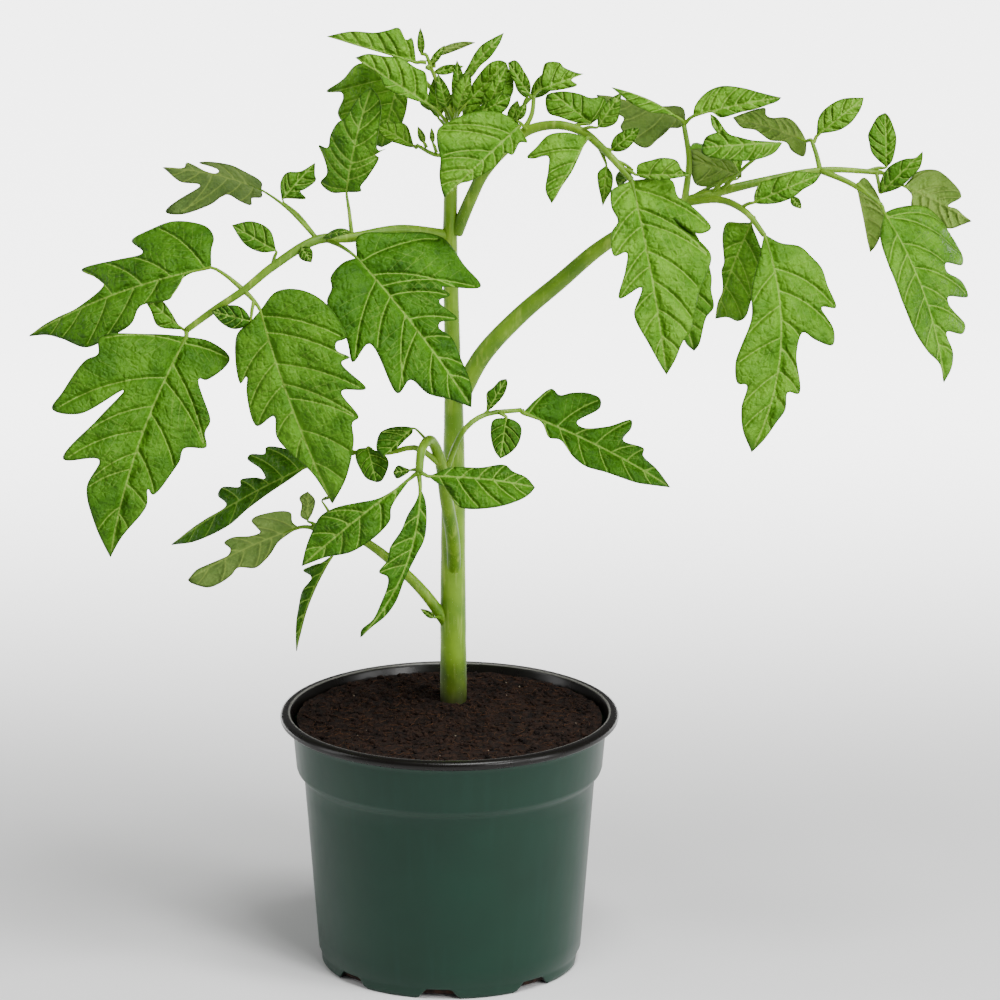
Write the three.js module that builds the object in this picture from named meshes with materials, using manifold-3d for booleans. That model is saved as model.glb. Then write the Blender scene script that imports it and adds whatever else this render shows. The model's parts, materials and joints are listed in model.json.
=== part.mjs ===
// A young tomato plant in a round nursery pot. Millimetres, +Z up, the pot stands on z = 0 with its axis on Z,
// and the plant is seen along +Y, with +X to the right.
import * as THREE from "three";
import { mergeVertices } from "three/addons/utils/BufferGeometryUtils.js";
import Module from "manifold-3d";

const wasm = await Module();
wasm.setup();

// ---------------------------------------------------------------- driving dimensions
const RIM_RADIUS = 68.3; // outside of the rolled rim
const POT_HEIGHT = 105;
const WALL = 1.4;
const GAP = 0.3; // air between two pieces that touch on the real plant
const BLADE_THICKNESS = 0.8;
const GRID = 0.005; // corners of joined solids lie on multiples of this
const AROUND = 36; // segments round the pot and the soil

// The pot's outside, from the floor up: [radius, height].
const FOOT_EDGE = 0.8;
const POT_OUTSIDE = [
  [52 - FOOT_EDGE, 0],
  [52, FOOT_EDGE],
  [52.3, 4.8],
  [53.2, 6.4],
  [58.7, 77.8],
  [61.7, 81.6],
  [63.2, 98],
  [65.6, 101.4],
  [RIM_RADIUS - 0.8, 101.4],
  [RIM_RADIUS, 102.2],
  [RIM_RADIUS - 0.4, 104.2],
  [RIM_RADIUS - 1.6, POT_HEIGHT],
  [RIM_RADIUS - 3.9, POT_HEIGHT],
];
// The pot's inside, from the floor up.
const POT_INSIDE = [
  [50.6, WALL],
  [51.8, 7.4],
  [57.2, 78],
  [60.2, 82],
  [61.8, 98],
  [RIM_RADIUS - 3.9, POT_HEIGHT],
];

// Eight drain channels are pressed up into the base and run out through the foot as notches.
const CHANNELS = {
  count: 8,
  turned: -4.6, // degrees, the front one's bearing from the viewer's side
  from: 20,
  to: 56,
  foot: 17, // width on the floor
  top: 10, // width at the channel's roof
  height: 4.2,
  hole: 3.2, // radius of the drain hole in its roof
  holeAt: 36,
};

const SOIL = { edge: 102.8, mound: 3, moundRadius: 26, crumb: 0.4, rings: 4 };
const STEM_FOOT = [1.6, 14]; // x and y of the stem where it enters the soil
const STEM_DEPTH = 34; // length of stem below the soil's surface

// ---------------------------------------------------------------- how the plant is laid out
// Places on the plant are given as they are seen: [across, up, back], in millimetres. across and up lie on the
// picture plane through TARGET, counted from the soil's middle, and back is the distance behind the pot's axis.
const TARGET = new THREE.Vector3(20.4, 0, 193.3);
const TARGET_UP = 76;
const DISTANCE = 3000;
const ELEVATION = THREE.MathUtils.degToRad(16.2);

function seen(across, up, back) {
  const sin = Math.sin(ELEVATION);
  const cos = Math.cos(ELEVATION);
  const rise = up - TARGET_UP;
  const away = (back - rise * sin) / (cos + (rise * sin) / DISTANCE);
  const grow = 1 + away / DISTANCE;
  const x = TARGET.x + (across - TARGET.x) * grow;
  const z = TARGET.z + rise * grow * cos - away * sin;
  return new THREE.Vector3(x, back, z);
}

// Where a leaflet's upper face looks: [right, up, towards the viewer].
const VIEWER = [0, 0.3, 1];
const SKY = [0, 1, 0.45];
const AWAY = [0, 0.5, -0.9];

// A leaflet hangs on its leaf's stem: at is the share of the stem's length where it grows, from the place of a
// side stalk that carries it. one and other are its two margins as they are seen, [across, up] from the base to
// the tip; a small plain leaflet has only its width, as a share of its length.
const STEM = {
  path: [[1.6, 52, 12], [2, 104, 10], [1.6, 128, 9], [1.2, 146, 8], [0.4, 184, 6], [0.8, 204, 5]],
  radii: [5.4, 5.2, 4.9, 4.2, 3.2, 3, 2.7],
};

const LEAF_LEFT = {
  path: [[-1, 182, 6], [-20, 184, -3], [-39, 181, -12], [-53, 180, -17], [-71, 169, -23], [-82, 160, -26],
    [-94, 152, -28], [-105, 144, -30]],
  radii: [2.3, 1.9, 1.3],
  leaflets: [
    { at: 0.35, base: [-41, 199, -8], tip: [-31, 241, -2],
      one: [[-47, 199], [-51.5, 203], [-49, 206.5], [-50.5, 214], [-52, 218], [-48.5, 217], [-47.5, 222],
        [-44.5, 227], [-41.5, 229], [-39, 233], [-34.5, 239]],
      other: [[-35, 199.5], [-35.5, 201], [-32.5, 205], [-28, 213], [-29.5, 214], [-25, 216.5],
        [-28.5, 216], [-27.5, 227], [-27, 232], [-28, 237]],
      face: [-0.35, 0.3, 1] },
    { at: 0.47, base: [-75, 200, -2], tip: [-114.5, 209, 16],
      one: [[-75, 203], [-81, 207], [-87, 210], [-100, 211], [-92, 208], [-93, 205], [-97, 206],
        [-105, 211], [-106, 209]],
      other: [[-75, 197], [-79, 196.5], [-79, 194], [-83.5, 195.5], [-89, 198], [-95.5, 194],
        [-107.5, 188.5], [-114, 189.5], [-99.5, 202], [-107.5, 203.5]],
      face: AWAY, arch: 0.06 },
    { at: 0.47, base: [-67, 196, -3], tip: [-53.5, 211, 2],
      one: [[-67.5, 203], [-65, 207], [-59.5, 207.5]],
      other: [[-65.5, 196.5], [-57, 196.5], [-59.5, 199.5], [-58, 200], [-53, 204], [-53.5, 206]],
      face: VIEWER },
    { at: 0.42, base: [-50, 181, -20], tip: [-39, 183, -26], wide: 0.24, face: SKY },
    { at: 0.52, base: [-59, 177, -21], tip: [-55, 171, -25], wide: 0.4, face: VIEWER },
    { at: 0.65, base: [-69, 175.5, -24], tip: [-87, 186, -20],
      one: [[-71.5, 184], [-78.5, 187.5]],
      other: [[-75, 175], [-81.5, 178]],
      face: VIEWER },
    { at: 0.45, base: [-37, 173, -24], tip: [9, 113, -38],
      one: [[-36.5, 181.5], [-21, 183], [-2.5, 181], [5.5, 171], [13, 161.5], [-3, 161], [0.5, 158],
        [-4, 155.5], [3.5, 148.5], [-3.5, 147], [-4, 145], [1, 141], [5, 132], [9, 121.5]],
      other: [[-42.5, 171], [-47.5, 165], [-47, 161], [-49, 155], [-41, 140], [-38.5, 131], [-32, 138.5],
        [-20.5, 118.5], [-15.5, 124], [-8.5, 118.5], [1, 116]],
      face: [0.25, 0.45, 1] },
    { at: 0.77, base: [-95, 169, -22], tip: [-168, 141.5, -6],
      one: [[-95, 176], [-94, 181], [-97, 185.5], [-108.5, 187.5], [-117, 185.5], [-127, 180],
        [-122.5, 175], [-133, 172], [-147, 168], [-138, 162.5], [-148.5, 153], [-155.5, 145],
        [-161.5, 143.5]],
      other: [[-104.5, 167], [-109, 162], [-111.5, 156.5], [-123.5, 153.5], [-127, 146.5], [-135, 141.5],
        [-145, 137], [-155, 140.5], [-161, 142]],
      face: [0, 0.9, 0.9], arch: 0.08 },
    { at: 0.77, base: [-75.5, 152, -32], tip: [-46.5, 74.5, -50],
      one: [[-69, 159.5], [-58.5, 160], [-49, 154.5], [-41, 141], [-45, 139], [-45, 136], [-39.5, 133],
        [-43, 131], [-33, 120.5], [-43, 119.5], [-36, 109], [-38.5, 107], [-38, 99.5], [-41, 85]],
      other: [[-79.5, 147.5], [-85, 142], [-83.5, 122.5], [-81, 125.5], [-81, 119], [-77, 105.5],
        [-70, 109.5], [-69, 101.5], [-64, 95], [-55, 87]],
      face: [-0.3, 0.35, 1] },
    { from: [-78, 156, -30], base: [-79.5, 147.5, -33], tip: [-95, 151.5, -32], wide: 0.3, face: VIEWER },
    { at: 0.97, base: [-106, 144, -29], tip: [-123.5, 158.5, -24],
      one: [[-116.5, 145.5], [-119.5, 152]],
      other: [[-109, 145], [-111, 151], [-115, 156]],
      face: VIEWER },
    { at: 1, base: [-105, 141.5, -31], tip: [-135.5, 53, -42],
      one: [[-119.5, 142.5], [-140, 141], [-140.5, 134.5], [-145.5, 132], [-155, 119], [-159, 112.5],
        [-147.5, 110.5], [-130, 120], [-140.5, 108.5], [-154.5, 92.5], [-140, 92], [-145, 81], [-142, 67]],
      other: [[-95.5, 139.5], [-87.5, 132.5], [-97, 124], [-100, 124.5], [-95.5, 108], [-97.5, 103],
        [-97, 97], [-106, 96.5], [-108, 91], [-118.5, 78], [-120.5, 80.5], [-121, 73.5], [-131, 61]],
      face: [0.3, 0.35, 1], sway: 0.06 },
  ],
};

const LEAF_FRONT = {
  path: [[2, 46, 12], [1.6, 60, 0], [-1, 76, -9], [-3.6, 92, -18], [-7.6, 100, -28], [-11, 96, -37],
    [-12, 87, -42]],
  radii: [2.9, 2.6, 1.6],
  stalks: [
    { at: 0.55, to: [[6, 104, -20], [14, 110, -16], [29, 112, -12]], radii: [1.3, 0.9] },
    { at: 0.62, to: [[-14, 97, -30], [-24, 95, -30], [-40, 95, -24]], radii: [1.3, 0.9] },
  ],
  leaflets: [
    { from: [-12, 87, -42], base: [-15, 85, -42], tip: [-59, 49.5, -48],
      one: [[-27.5, 77], [-36.5, 75], [-45.5, 73], [-51.5, 69.5], [-55, 63], [-57, 58]],
      other: [[-23, 73], [-23.5, 68], [-27.5, 63], [-32.5, 59], [-39.5, 55], [-49.5, 53], [-55, 51]],
      face: [0, 0.5, 1] },
    { from: [-12, 86, -42], base: [-11.5, 81, -45], tip: [-35.5, 21, -56],
      one: [[-13, 76], [-16.5, 70], [-19, 64], [-23.5, 57], [-24.5, 52], [-28, 47], [-24.5, 45],
        [-27.5, 34], [-30.5, 28], [-35, 24]],
      other: [[-9.5, 76], [-9, 66], [-10, 60], [-13, 54], [-17.5, 45], [-21.5, 35], [-25.5, 29.5],
        [-31, 25.5]],
      face: [0.5, 0.3, 1], sway: -0.07 },
    { from: [-12, 87, -42], base: [-8.5, 85.5, -42], tip: [34.5, 81, -36],
      one: [[-4.5, 87], [0.5, 89], [12.5, 89], [22.5, 90], [25.5, 87.5], [31, 85]],
      other: [[-3.5, 82], [0.5, 81], [1, 77], [4.5, 73], [18.5, 73], [28.5, 76], [32.5, 78.5]],
      face: [0, 0.7, 1] },
    { from: [-12, 88, -41], base: [-15, 88, -40], tip: [-22.5, 87, -40],
      one: [[-17.5, 89], [-20.5, 90]],
      other: [[-17.5, 86], [-21, 84.5]],
      face: VIEWER },
    { at: 0.66, base: [-14.5, 105, -31], tip: [-26.5, 93, -38],
      one: [[-17.5, 105.5], [-23.5, 105], [-27.5, 103], [-29, 99], [-29, 96]],
      other: [[-14.5, 103], [-17.5, 100], [-21, 96.5], [-24.5, 94.5]],
      face: VIEWER },
    { from: [-31, 96, -28], base: [-32.5, 97, -30], tip: [-29, 83, -36],
      one: [[-37, 96], [-37.5, 93], [-35.5, 88], [-33, 84.5]],
      other: [[-28.5, 95.5], [-25.5, 94], [-24, 91], [-25, 87], [-27, 83.5]],
      face: VIEWER },
    { from: [-38, 95, -25], base: [-56.5, 89.5, -22], tip: [-111, 58, -2],
      one: [[-61, 94], [-67, 97], [-73, 97], [-73.5, 94.5], [-79.5, 94], [-80.5, 92.5], [-75, 88],
        [-73.5, 84.5], [-77, 85], [-83.5, 84], [-83.5, 81.5], [-91, 81], [-92.5, 78], [-89, 74], [-97, 67],
        [-101.5, 63.5]],
      other: [[-63.5, 84.5], [-72.5, 78.5], [-80.5, 72.5], [-88, 66], [-101.5, 59.5]],
      face: [-0.1, 0.8, 0.7], arch: 0.04 },
    { from: [14, 110, -16], base: [15, 111, -16], tip: [23, 124.5, -16],
      one: [[15, 115], [15, 119], [17.5, 121], [20.5, 124]],
      other: [[17.5, 113], [20.5, 116], [22.5, 119], [23.5, 123]],
      face: VIEWER },
    { from: [20, 111, -15], base: [23, 109, -15], tip: [20.5, 92.5, -20],
      one: [[17.5, 108], [16.5, 103], [17, 99], [18.5, 95]],
      other: [[27, 107.5], [29, 105], [28.5, 100], [26.5, 96.5], [23.5, 94]],
      face: VIEWER },
    { from: [29, 112, -12], base: [29.5, 111, -12], tip: [88.5, 81, 6],
      one: [[35, 116.5], [41, 120.5], [44, 118], [49, 119], [55, 119], [60.5, 116.5], [60.5, 113],
        [51, 107], [53.5, 105], [63.5, 105.5], [73, 108], [73, 105], [69.5, 100], [78, 96.5], [77.5, 94],
        [83, 88.5]],
      other: [[37, 107], [40, 101], [44.5, 100], [49.5, 93.5], [54.5, 89.5], [63, 87], [74.5, 83],
        [80.5, 82]],
      face: [0.1, 0.6, 1] },
  ],
};

const LEAF_LOW = {
  path: [[-1, 27, 12], [-10, 39, 8], [-20, 49, 10], [-33, 59, 14], [-44, 64, 17], [-55, 65, 20]],
  radii: [2.5, 2, 1.2],
  leaflets: [
    { at: 1, base: [-60, 65, 20], tip: [-104.5, 44, 24],
      one: [[-62.5, 67], [-63.5, 71], [-69.5, 71.5], [-77, 69.5], [-79, 67.5], [-77, 65], [-75.5, 63],
        [-79.5, 61.5], [-87, 61], [-90, 59], [-87.5, 56.5], [-88, 53.5], [-90, 51], [-98, 49.5], [-101, 48]],
      other: [[-65.5, 61.5], [-68.5, 59], [-71, 55], [-73.5, 52], [-77.5, 49], [-84.5, 49], [-87, 46],
        [-91, 43], [-96.5, 41], [-103.5, 43]],
      face: AWAY, arch: 0.05 },
    { at: 0.75, base: [-46.5, 54, 16], tip: [-61, 15.5, 12],
      one: [[-51, 51], [-58.5, 48], [-55, 45], [-58.5, 40], [-60, 33.5], [-61, 27]],
      other: [[-49.5, 50], [-52.5, 44], [-55, 37], [-57.5, 30.5], [-59, 24]],
      face: [-0.8, 0.3, 0.8] },
    { at: 0.95, base: [-56.5, 67.5, 20], tip: [-56.5, 79.5, 22],
      one: [[-59.5, 69.5], [-59, 74], [-60, 77]],
      other: [[-54.5, 71], [-53.5, 76]],
      face: AWAY },
    { at: 0.85, base: [-51, 76, 18], tip: [-46.5, 77, 16], wide: 0.2, face: SKY },
    { at: 0.02, base: [-6, 29, 4], tip: [-11.5, 32.5, 0], wide: 0.16, face: VIEWER },
  ],
};

const LEAF_RIGHT = {
  path: [[4, 117, 9], [13.5, 134, 6], [28.5, 150, 4], [44.5, 163.5, 2], [60.5, 177, 0], [82, 190, 0],
    [97, 196, 0], [123, 203, 2], [150, 208, 4], [173, 207, 6]],
  radii: [4, 3.5, 3, 2.2, 1.5, 1],
  stalks: [
    { at: 0.61, to: [[96, 212, 2], [94, 226, 5]], radii: [1.5, 1] },
    { at: 0.61, to: [[109, 196, -8], [119, 191, -16], [126, 182, -24]], radii: [1.7, 1.1] },
    { at: 0.88, to: [[147, 214, 6], [145, 220, 9]], radii: [1.1, 0.8] },
    { at: 0.88, to: [[160, 203, -2], [168, 198, -6], [173, 194, -8]], radii: [1.3, 0.9] },
  ],
  leaflets: [
    { from: [94, 226, 5], base: [93, 228, 4], tip: [65, 241, 10],
      one: [[87.5, 231], [82.5, 235], [76.5, 237]],
      other: [[86.5, 230.5], [80.5, 231], [72.5, 235]],
      face: [0, 1, 0.7] },
    { from: [94, 225, 5], base: [94.5, 227.5, 8], tip: [59, 238, 26],
      one: [[93.5, 233], [86.5, 233.5], [80.5, 233], [74.5, 234.5], [68.5, 235], [64.5, 237.5]],
      other: [[92.5, 225], [87.5, 224.5], [79, 216.5], [73, 219.5], [68.5, 225], [70, 229], [65, 231.5],
        [60.5, 235]],
      face: AWAY, arch: 0.04 },
    { from: [94, 226, 5], base: [97.5, 229.5, 4], tip: [133, 237, 2],
      one: [[98.5, 234], [103.5, 239.5], [109, 241.5], [117, 241], [124.5, 239], [130.5, 237.5]],
      other: [[100.5, 231], [105, 231], [108.5, 229], [116.5, 231], [123, 232.5], [127.5, 234],
        [131.5, 235.5]],
      face: [0, 0.6, 1], arch: 0.06 },
    { at: 0.66, base: [116, 207, -7], tip: [104.5, 230.5, -9],
      one: [[113.5, 211], [111, 213], [109, 217], [107.5, 222], [105, 226]],
      other: [[117.5, 211], [117.5, 215], [117, 219.5], [111.5, 223], [107, 229]],
      face: VIEWER },
    { at: 0.68, base: [133.5, 219, -14], tip: [101, 217, -20],
      one: [[127.5, 219.5], [121, 220], [115, 221.5], [107.5, 223], [105, 222.5], [102.5, 221]],
      other: [[130.5, 215], [126.5, 213], [118.5, 211.5], [111, 212], [103, 213.5], [101, 215]],
      face: VIEWER },
    { at: 0.6, base: [117, 205, 8], tip: [97, 212, 20],
      one: [[113, 205], [109, 203], [103.5, 201], [97, 199.5], [97, 206]],
      other: [[116.5, 209], [111.5, 214], [105, 218], [100.5, 220], [97, 218]],
      face: AWAY, arch: 0.04 },
    { from: [126, 182, -24], base: [126, 182.5, -24], tip: [121, 95, -42],
      one: [[123.5, 171], [121, 160], [121, 149], [117, 138], [114.5, 130.5], [115.5, 122.5], [119, 122],
        [117, 113], [117.5, 104]],
      other: [[132.5, 179], [140.5, 177.5], [145, 173.5], [149, 169], [151.5, 162], [155, 153], [149, 153],
        [154, 144], [153.5, 138], [146.5, 140], [141.5, 143], [139, 134], [140, 118.5], [135.5, 119],
        [134.5, 112], [131, 107], [126, 100]],
      face: [0.2, 0.3, 1], sway: -0.09 },
    { from: [122, 189, -18], base: [121, 187, -12], tip: [106.5, 148.5, -6],
      one: [[116.5, 187], [111, 187], [109.5, 183], [110, 171], [109, 168], [109.5, 162], [110.5, 158.5],
        [107.5, 155]],
      other: [[126, 171], [121, 156], [118.5, 149], [115.5, 147.5], [111.5, 149]],
      face: [-0.3, 0.2, 1] },
    { from: [117, 193, -14], base: [122, 195, -18], tip: [149, 206.5, -20],
      one: [[122, 198], [124.5, 203], [127.5, 204], [134.5, 206], [139, 207.5], [145, 207]],
      other: [[123, 194.5], [130.5, 194.5], [135.5, 196], [138.5, 197.5], [141.5, 200], [146.5, 203]],
      face: VIEWER },
    { at: 0.8, base: [137, 197, -2], tip: [141, 192.5, -6], wide: 0.3, face: VIEWER },
    { from: [146, 219, 9], base: [147, 221.5, 9], tip: [166, 237, 10],
      one: [[147.5, 228], [149, 231], [153, 234.5], [157, 236.5], [160.5, 237], [163.5, 237]],
      other: [[148.5, 222.5], [152.5, 223], [156.5, 224], [160.5, 226.5], [163, 229.5], [165, 233]],
      face: VIEWER },
    { from: [145, 220, 9], base: [143, 219.5, 11], tip: [113.5, 229, 20],
      one: [[140.5, 224], [137.5, 227.5], [134.5, 229], [129, 229], [127, 230], [126.5, 233], [123, 232.5],
        [118.5, 231]],
      other: [[143, 218], [142, 213.5], [137, 216], [135, 219], [128.5, 220], [125.5, 222], [122.5, 224],
        [117, 225]],
      face: AWAY, arch: 0.04 },
    { from: [173, 194, -8], base: [174, 191, -8], tip: [198, 123, -22],
      one: [[172.5, 181], [175.5, 171], [179, 162.5], [181.5, 154.5], [186, 144], [191.5, 135.5],
        [196.5, 130]],
      other: [[179, 193], [190.5, 193], [198.5, 187], [200.5, 183], [205, 174], [205, 170], [198.5, 170.5],
        [199, 167.5], [205, 163], [207.5, 157.5], [199.5, 157], [200, 154], [206.5, 146], [205.5, 142.5],
        [199, 143], [201.5, 135], [201, 129]],
      face: [0.9, 0.3, 0.9] },
    { from: [168, 198, -6], base: [163, 202.5, -4], tip: [168.5, 175, -1],
      one: [[166, 205], [169.5, 201.5], [172.5, 196], [174, 190], [173, 183], [171, 178]],
      other: [[165.5, 197.5], [168.5, 192.5], [168.5, 187], [167.5, 180]],
      face: AWAY },
    { at: 0.97, base: [175, 209, 7], tip: [174.5, 231, 12],
      one: [[171.5, 212], [169, 215], [168, 219], [167.5, 222], [169, 225.5], [171.5, 229.5]],
      other: [[177, 211], [178.5, 216], [179, 221], [178, 225], [176, 229.5]],
      face: VIEWER },
    { at: 0.99, base: [172.5, 198.5, 1], tip: [189.5, 215.5, -4],
      one: [[172.5, 203], [173.5, 206], [175.5, 209], [178.5, 211], [182.5, 212.5], [186.5, 213]],
      other: [[175, 199], [180.5, 201], [184.5, 204.5], [188.5, 209], [189.5, 213]],
      face: VIEWER },
    { at: 1, base: [182, 201.5, 10], tip: [209, 187.5, 20],
      one: [[185, 205], [187.5, 207.5], [195, 208], [198.5, 206], [201.5, 203], [205, 197.5], [199, 193],
        [203, 192.5], [205.5, 189.5]],
      other: [[185, 198], [185, 193], [192.5, 187], [200.5, 184.5], [205, 186]],
      face: AWAY, arch: 0.04 },
  ],
};

const SHOOT_RIGHT = {
  path: [[3, 183, 6], [8, 195, 2], [14, 207, -2], [23, 217, -6], [32, 224, -8], [44, 226, -12], [54, 223, -16],
    [60, 218, -20], [66, 212, -26], [73, 204, -30]],
  radii: [2.7, 2.3, 1.8, 1.3],
  stalks: [{ at: 0.48, to: [[33, 230, -6], [34, 238, -4]], radii: [1.1, 0.8] }],
  leaflets: [
    { at: 0.45, base: [28.5, 226, -12], tip: [-2, 197, -26],
      one: [[25, 229], [20.5, 231], [14.5, 231.5], [7, 230.5], [-1, 227], [-4.5, 224], [-4.5, 217],
        [-3.5, 213], [-4, 206], [-3, 200]],
      other: [[29, 223.5], [31.5, 219], [28.5, 219], [25.5, 214], [22.5, 215], [20.5, 212], [18.5, 209],
        [15, 207], [8.5, 203.5], [4.5, 202.5], [1, 200]],
      face: VIEWER },
    { from: [34, 237, -4], base: [33, 237, -4], tip: [23.5, 251, 0],
      one: [[31.5, 241], [30.5, 246], [29, 249.5], [26.5, 252]],
      other: [[31, 237.5], [27, 241.5], [24.5, 246.5]],
      face: VIEWER },
    { from: [34, 238, -4], base: [36, 240, -4], tip: [54, 246.5, -2],
      one: [[37, 246], [38.5, 251], [44.5, 251], [45.5, 249.5], [51, 247]],
      other: [[39.5, 239.5], [44.5, 240], [51.5, 242], [49, 244]],
      face: VIEWER },
    { from: [31, 224, -9], base: [27, 228, -13], tip: [31, 235, -13], wide: 0.26, face: VIEWER },
    { at: 0.68, base: [57, 226.5, -14], tip: [41, 239, -6],
      one: [[50.5, 227], [44.5, 229], [39.5, 231], [39, 238]],
      other: [[62.5, 231], [62.5, 237], [56.5, 237], [52.5, 238.5], [46.5, 239.5]],
      face: VIEWER },
    { at: 0.78, base: [55.5, 221, -20], tip: [41, 194.5, -30],
      one: [[46.5, 223], [39.5, 222], [34.5, 217], [31, 213], [33.5, 212.5], [39.5, 213.5], [39.5, 208],
        [38.5, 200]],
      other: [[51, 211], [49, 207], [44.5, 201], [41.5, 198]],
      face: VIEWER },
    { at: 0.72, base: [59.5, 225, -22], tip: [69, 239, -24],
      one: [[59.5, 229], [61.5, 233], [65, 237]],
      other: [[63, 225], [67, 227], [68.5, 232]],
      face: VIEWER },
    { at: 0.84, base: [65, 216, -20], tip: [76.5, 225, -22], wide: 0.24, face: VIEWER },
    { at: 0.8, base: [63, 210, -24], tip: [61.5, 193.5, -20],
      one: [[59.5, 207], [59.5, 203], [60.5, 198]],
      other: [[65.5, 206], [65, 200], [63, 196.5]],
      face: VIEWER },
    { at: 0.9, base: [73.5, 208, -26], tip: [67.5, 201.5, -20],
      one: [[71.5, 209], [68.5, 208], [66.5, 205]],
      other: [[72.5, 205], [70.5, 203]],
      face: VIEWER },
    { at: 0.94, base: [75, 206, -31], tip: [97, 206, -36],
      one: [[75.5, 210], [81, 212], [85, 213], [91, 212], [93.5, 208]],
      other: [[76.5, 205], [84.5, 204], [92.5, 205]],
      face: VIEWER },
    { at: 1, base: [73, 204, -30], tip: [87, 126, -46],
      one: [[68.5, 202], [65, 200], [65, 193], [67.5, 187.5], [65, 183], [66, 173.5], [71, 175],
        [70.5, 168], [68, 156.5], [77, 161], [74, 151], [75, 147], [79.5, 139], [84.5, 130]],
      other: [[89, 204], [91.5, 197.5], [96.5, 194], [105, 185], [101, 182.5], [96.5, 183.5], [89.5, 189],
        [92.5, 185], [101, 179], [105, 173], [100.5, 160], [98, 149], [97, 144], [93.5, 139], [90.5, 132]],
      face: [0.15, 0.35, 1] },
    { from: [76, 201, -30], base: [79, 197, -25], tip: [98, 135.5, -33],
      one: [[83, 182], [88.5, 166], [92.5, 152], [94.5, 139]],
      other: [[96.5, 186], [105, 166], [105, 160], [106, 153], [103, 149], [100, 138]],
      face: VIEWER },
  ],
};

const CROWN = {
  path: [[0.8, 204, 5], [1, 214, 5], [2, 222, 4], [2, 230, 3]],
  radii: [2.6, 2.2, 1.5],
  stalks: [
    { at: 0.4, to: [[-5, 214, 2], [-13, 218, -2]], radii: [1, 0.7] },
    { at: 0.9, to: [[-2, 238, 5], [-6, 246, 4], [-9, 254, 2]], radii: [1.1, 0.7] },
    { at: 0.85, to: [[-4, 236, 9], [-10, 244, 12], [-14, 247, 13]], radii: [1, 0.8] },
  ],
  leaflets: [
    { from: [-13, 217, -2], base: [-14, 217.5, 0], tip: [-28.5, 226, 5],
      one: [[-15.5, 223], [-16.5, 225.5], [-18.5, 227], [-23, 227], [-25.5, 227]],
      other: [[-15, 217], [-17.5, 217.5], [-20.5, 218.5], [-23.5, 219.5], [-27.5, 222.5]],
      face: VIEWER },
    { from: [-9, 217, -1], base: [-10, 219, -1], tip: [-12.5, 225.5, -4], wide: 0.18, face: VIEWER },
    { from: [-5, 215, 1], base: [-6.5, 219, 1], tip: [-7, 225, -1], wide: 0.16, face: VIEWER },
    { from: [1, 224, 4], base: [-7, 233.5, -6], tip: [-37.5, 253, -16],
      one: [[-25.5, 241], [-27.5, 245.5], [-29.5, 249], [-33, 252]],
      other: [[-8.5, 239], [-9.5, 247], [-13, 249], [-19.5, 253], [-25.5, 253.5], [-32.5, 254.5]],
      face: VIEWER, arch: 0.06 },
    { from: [-13, 246, 13], base: [-18.5, 250.5, 13], tip: [-27, 217, 20],
      one: [[-36.5, 250.5], [-42.5, 244.5], [-49, 239.5], [-43, 239], [-42.5, 237], [-44.5, 230.5],
        [-41.5, 226]],
      other: [[-16.5, 240], [-16.5, 236], [-17, 232], [-18.5, 227], [-21, 221], [-23, 219]],
      face: VIEWER },
    { from: [-9, 251, 2], base: [-13, 251, 2], tip: [-49, 261.5, 8],
      one: [[-15, 261], [-17, 260], [-20, 265], [-24.5, 264], [-29.5, 263], [-39, 263.5]],
      other: [[-18, 251.5], [-20.5, 253], [-23, 255], [-24.5, 259], [-28.5, 261], [-35.5, 261.5]],
      face: VIEWER },
    { from: [-9, 254, 2], base: [-11, 254.5, 2], tip: [-11.5, 265, 0], wide: 0.14, face: VIEWER },
    { from: [-6, 249, 4], base: [-6, 253.5, 4], tip: [10.5, 259, 5], wide: 0.12, face: AWAY },
    { at: 0.98, base: [3.5, 242.5, 0], tip: [22, 263, -4],
      one: [[7.5, 249.5], [10.5, 255], [13, 258], [17, 260.5]],
      other: [[9, 245], [12.5, 249.5], [16.5, 253], [20.5, 259]],
      face: VIEWER },
    { at: 0.9, base: [-1, 233, -3], tip: [-4.5, 246.5, -8], wide: 0.18, face: VIEWER },
    { at: 0.8, base: [3, 231, -5], tip: [8.5, 247, -11],
      one: [[1, 237], [2.5, 241.5], [5, 245]],
      other: [[6, 234.5], [8.5, 239], [9, 244]],
      face: VIEWER },
    { at: 0.9, base: [6, 233.5, 1], tip: [23, 251, 5],
      one: [[8.5, 241], [12.5, 247], [16.5, 251], [20.5, 252]],
      other: [[12.5, 234.5], [19, 235], [25, 237.5], [26, 242.5], [24.5, 247]],
      face: VIEWER },
    { at: 0.7, base: [5, 227, -1], tip: [25, 237.5, -5],
      one: [[10, 232], [16.5, 236], [21, 238.5]],
      other: [[11.5, 227], [19, 229.5], [23.5, 233]],
      face: VIEWER },
    { at: 0.75, base: [5.5, 229.5, 8], tip: [13, 241.5, 30],
      one: [[5, 234.5], [7, 238.5], [10, 241]],
      other: [[10, 231], [14, 236], [15, 239]],
      face: [0, 1, -0.3] },
    { at: 0.6, base: [-2.5, 229, 9], tip: [-11.5, 237, 30],
      one: [[-5, 233.5], [-7.5, 236], [-10, 237]],
      other: [[-6, 230.5], [-9, 232], [-11.5, 234.5]],
      face: [0, 1, -0.3] },
  ],
};

// ---------------------------------------------------------------- solids
function solid(geometry) {
  const bare = geometry.index ? geometry.toNonIndexed() : geometry.clone();
  const shell = new THREE.BufferGeometry().setAttribute("position", bare.getAttribute("position"));
  const merged = mergeVertices(shell, 1e-4);
  const vertProperties = new Float32Array(merged.attributes.position.array);
  return new wasm.Manifold(new wasm.Mesh({ numProp: 3, vertProperties, triVerts: new Uint32Array(merged.index.array) }));
}

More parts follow.
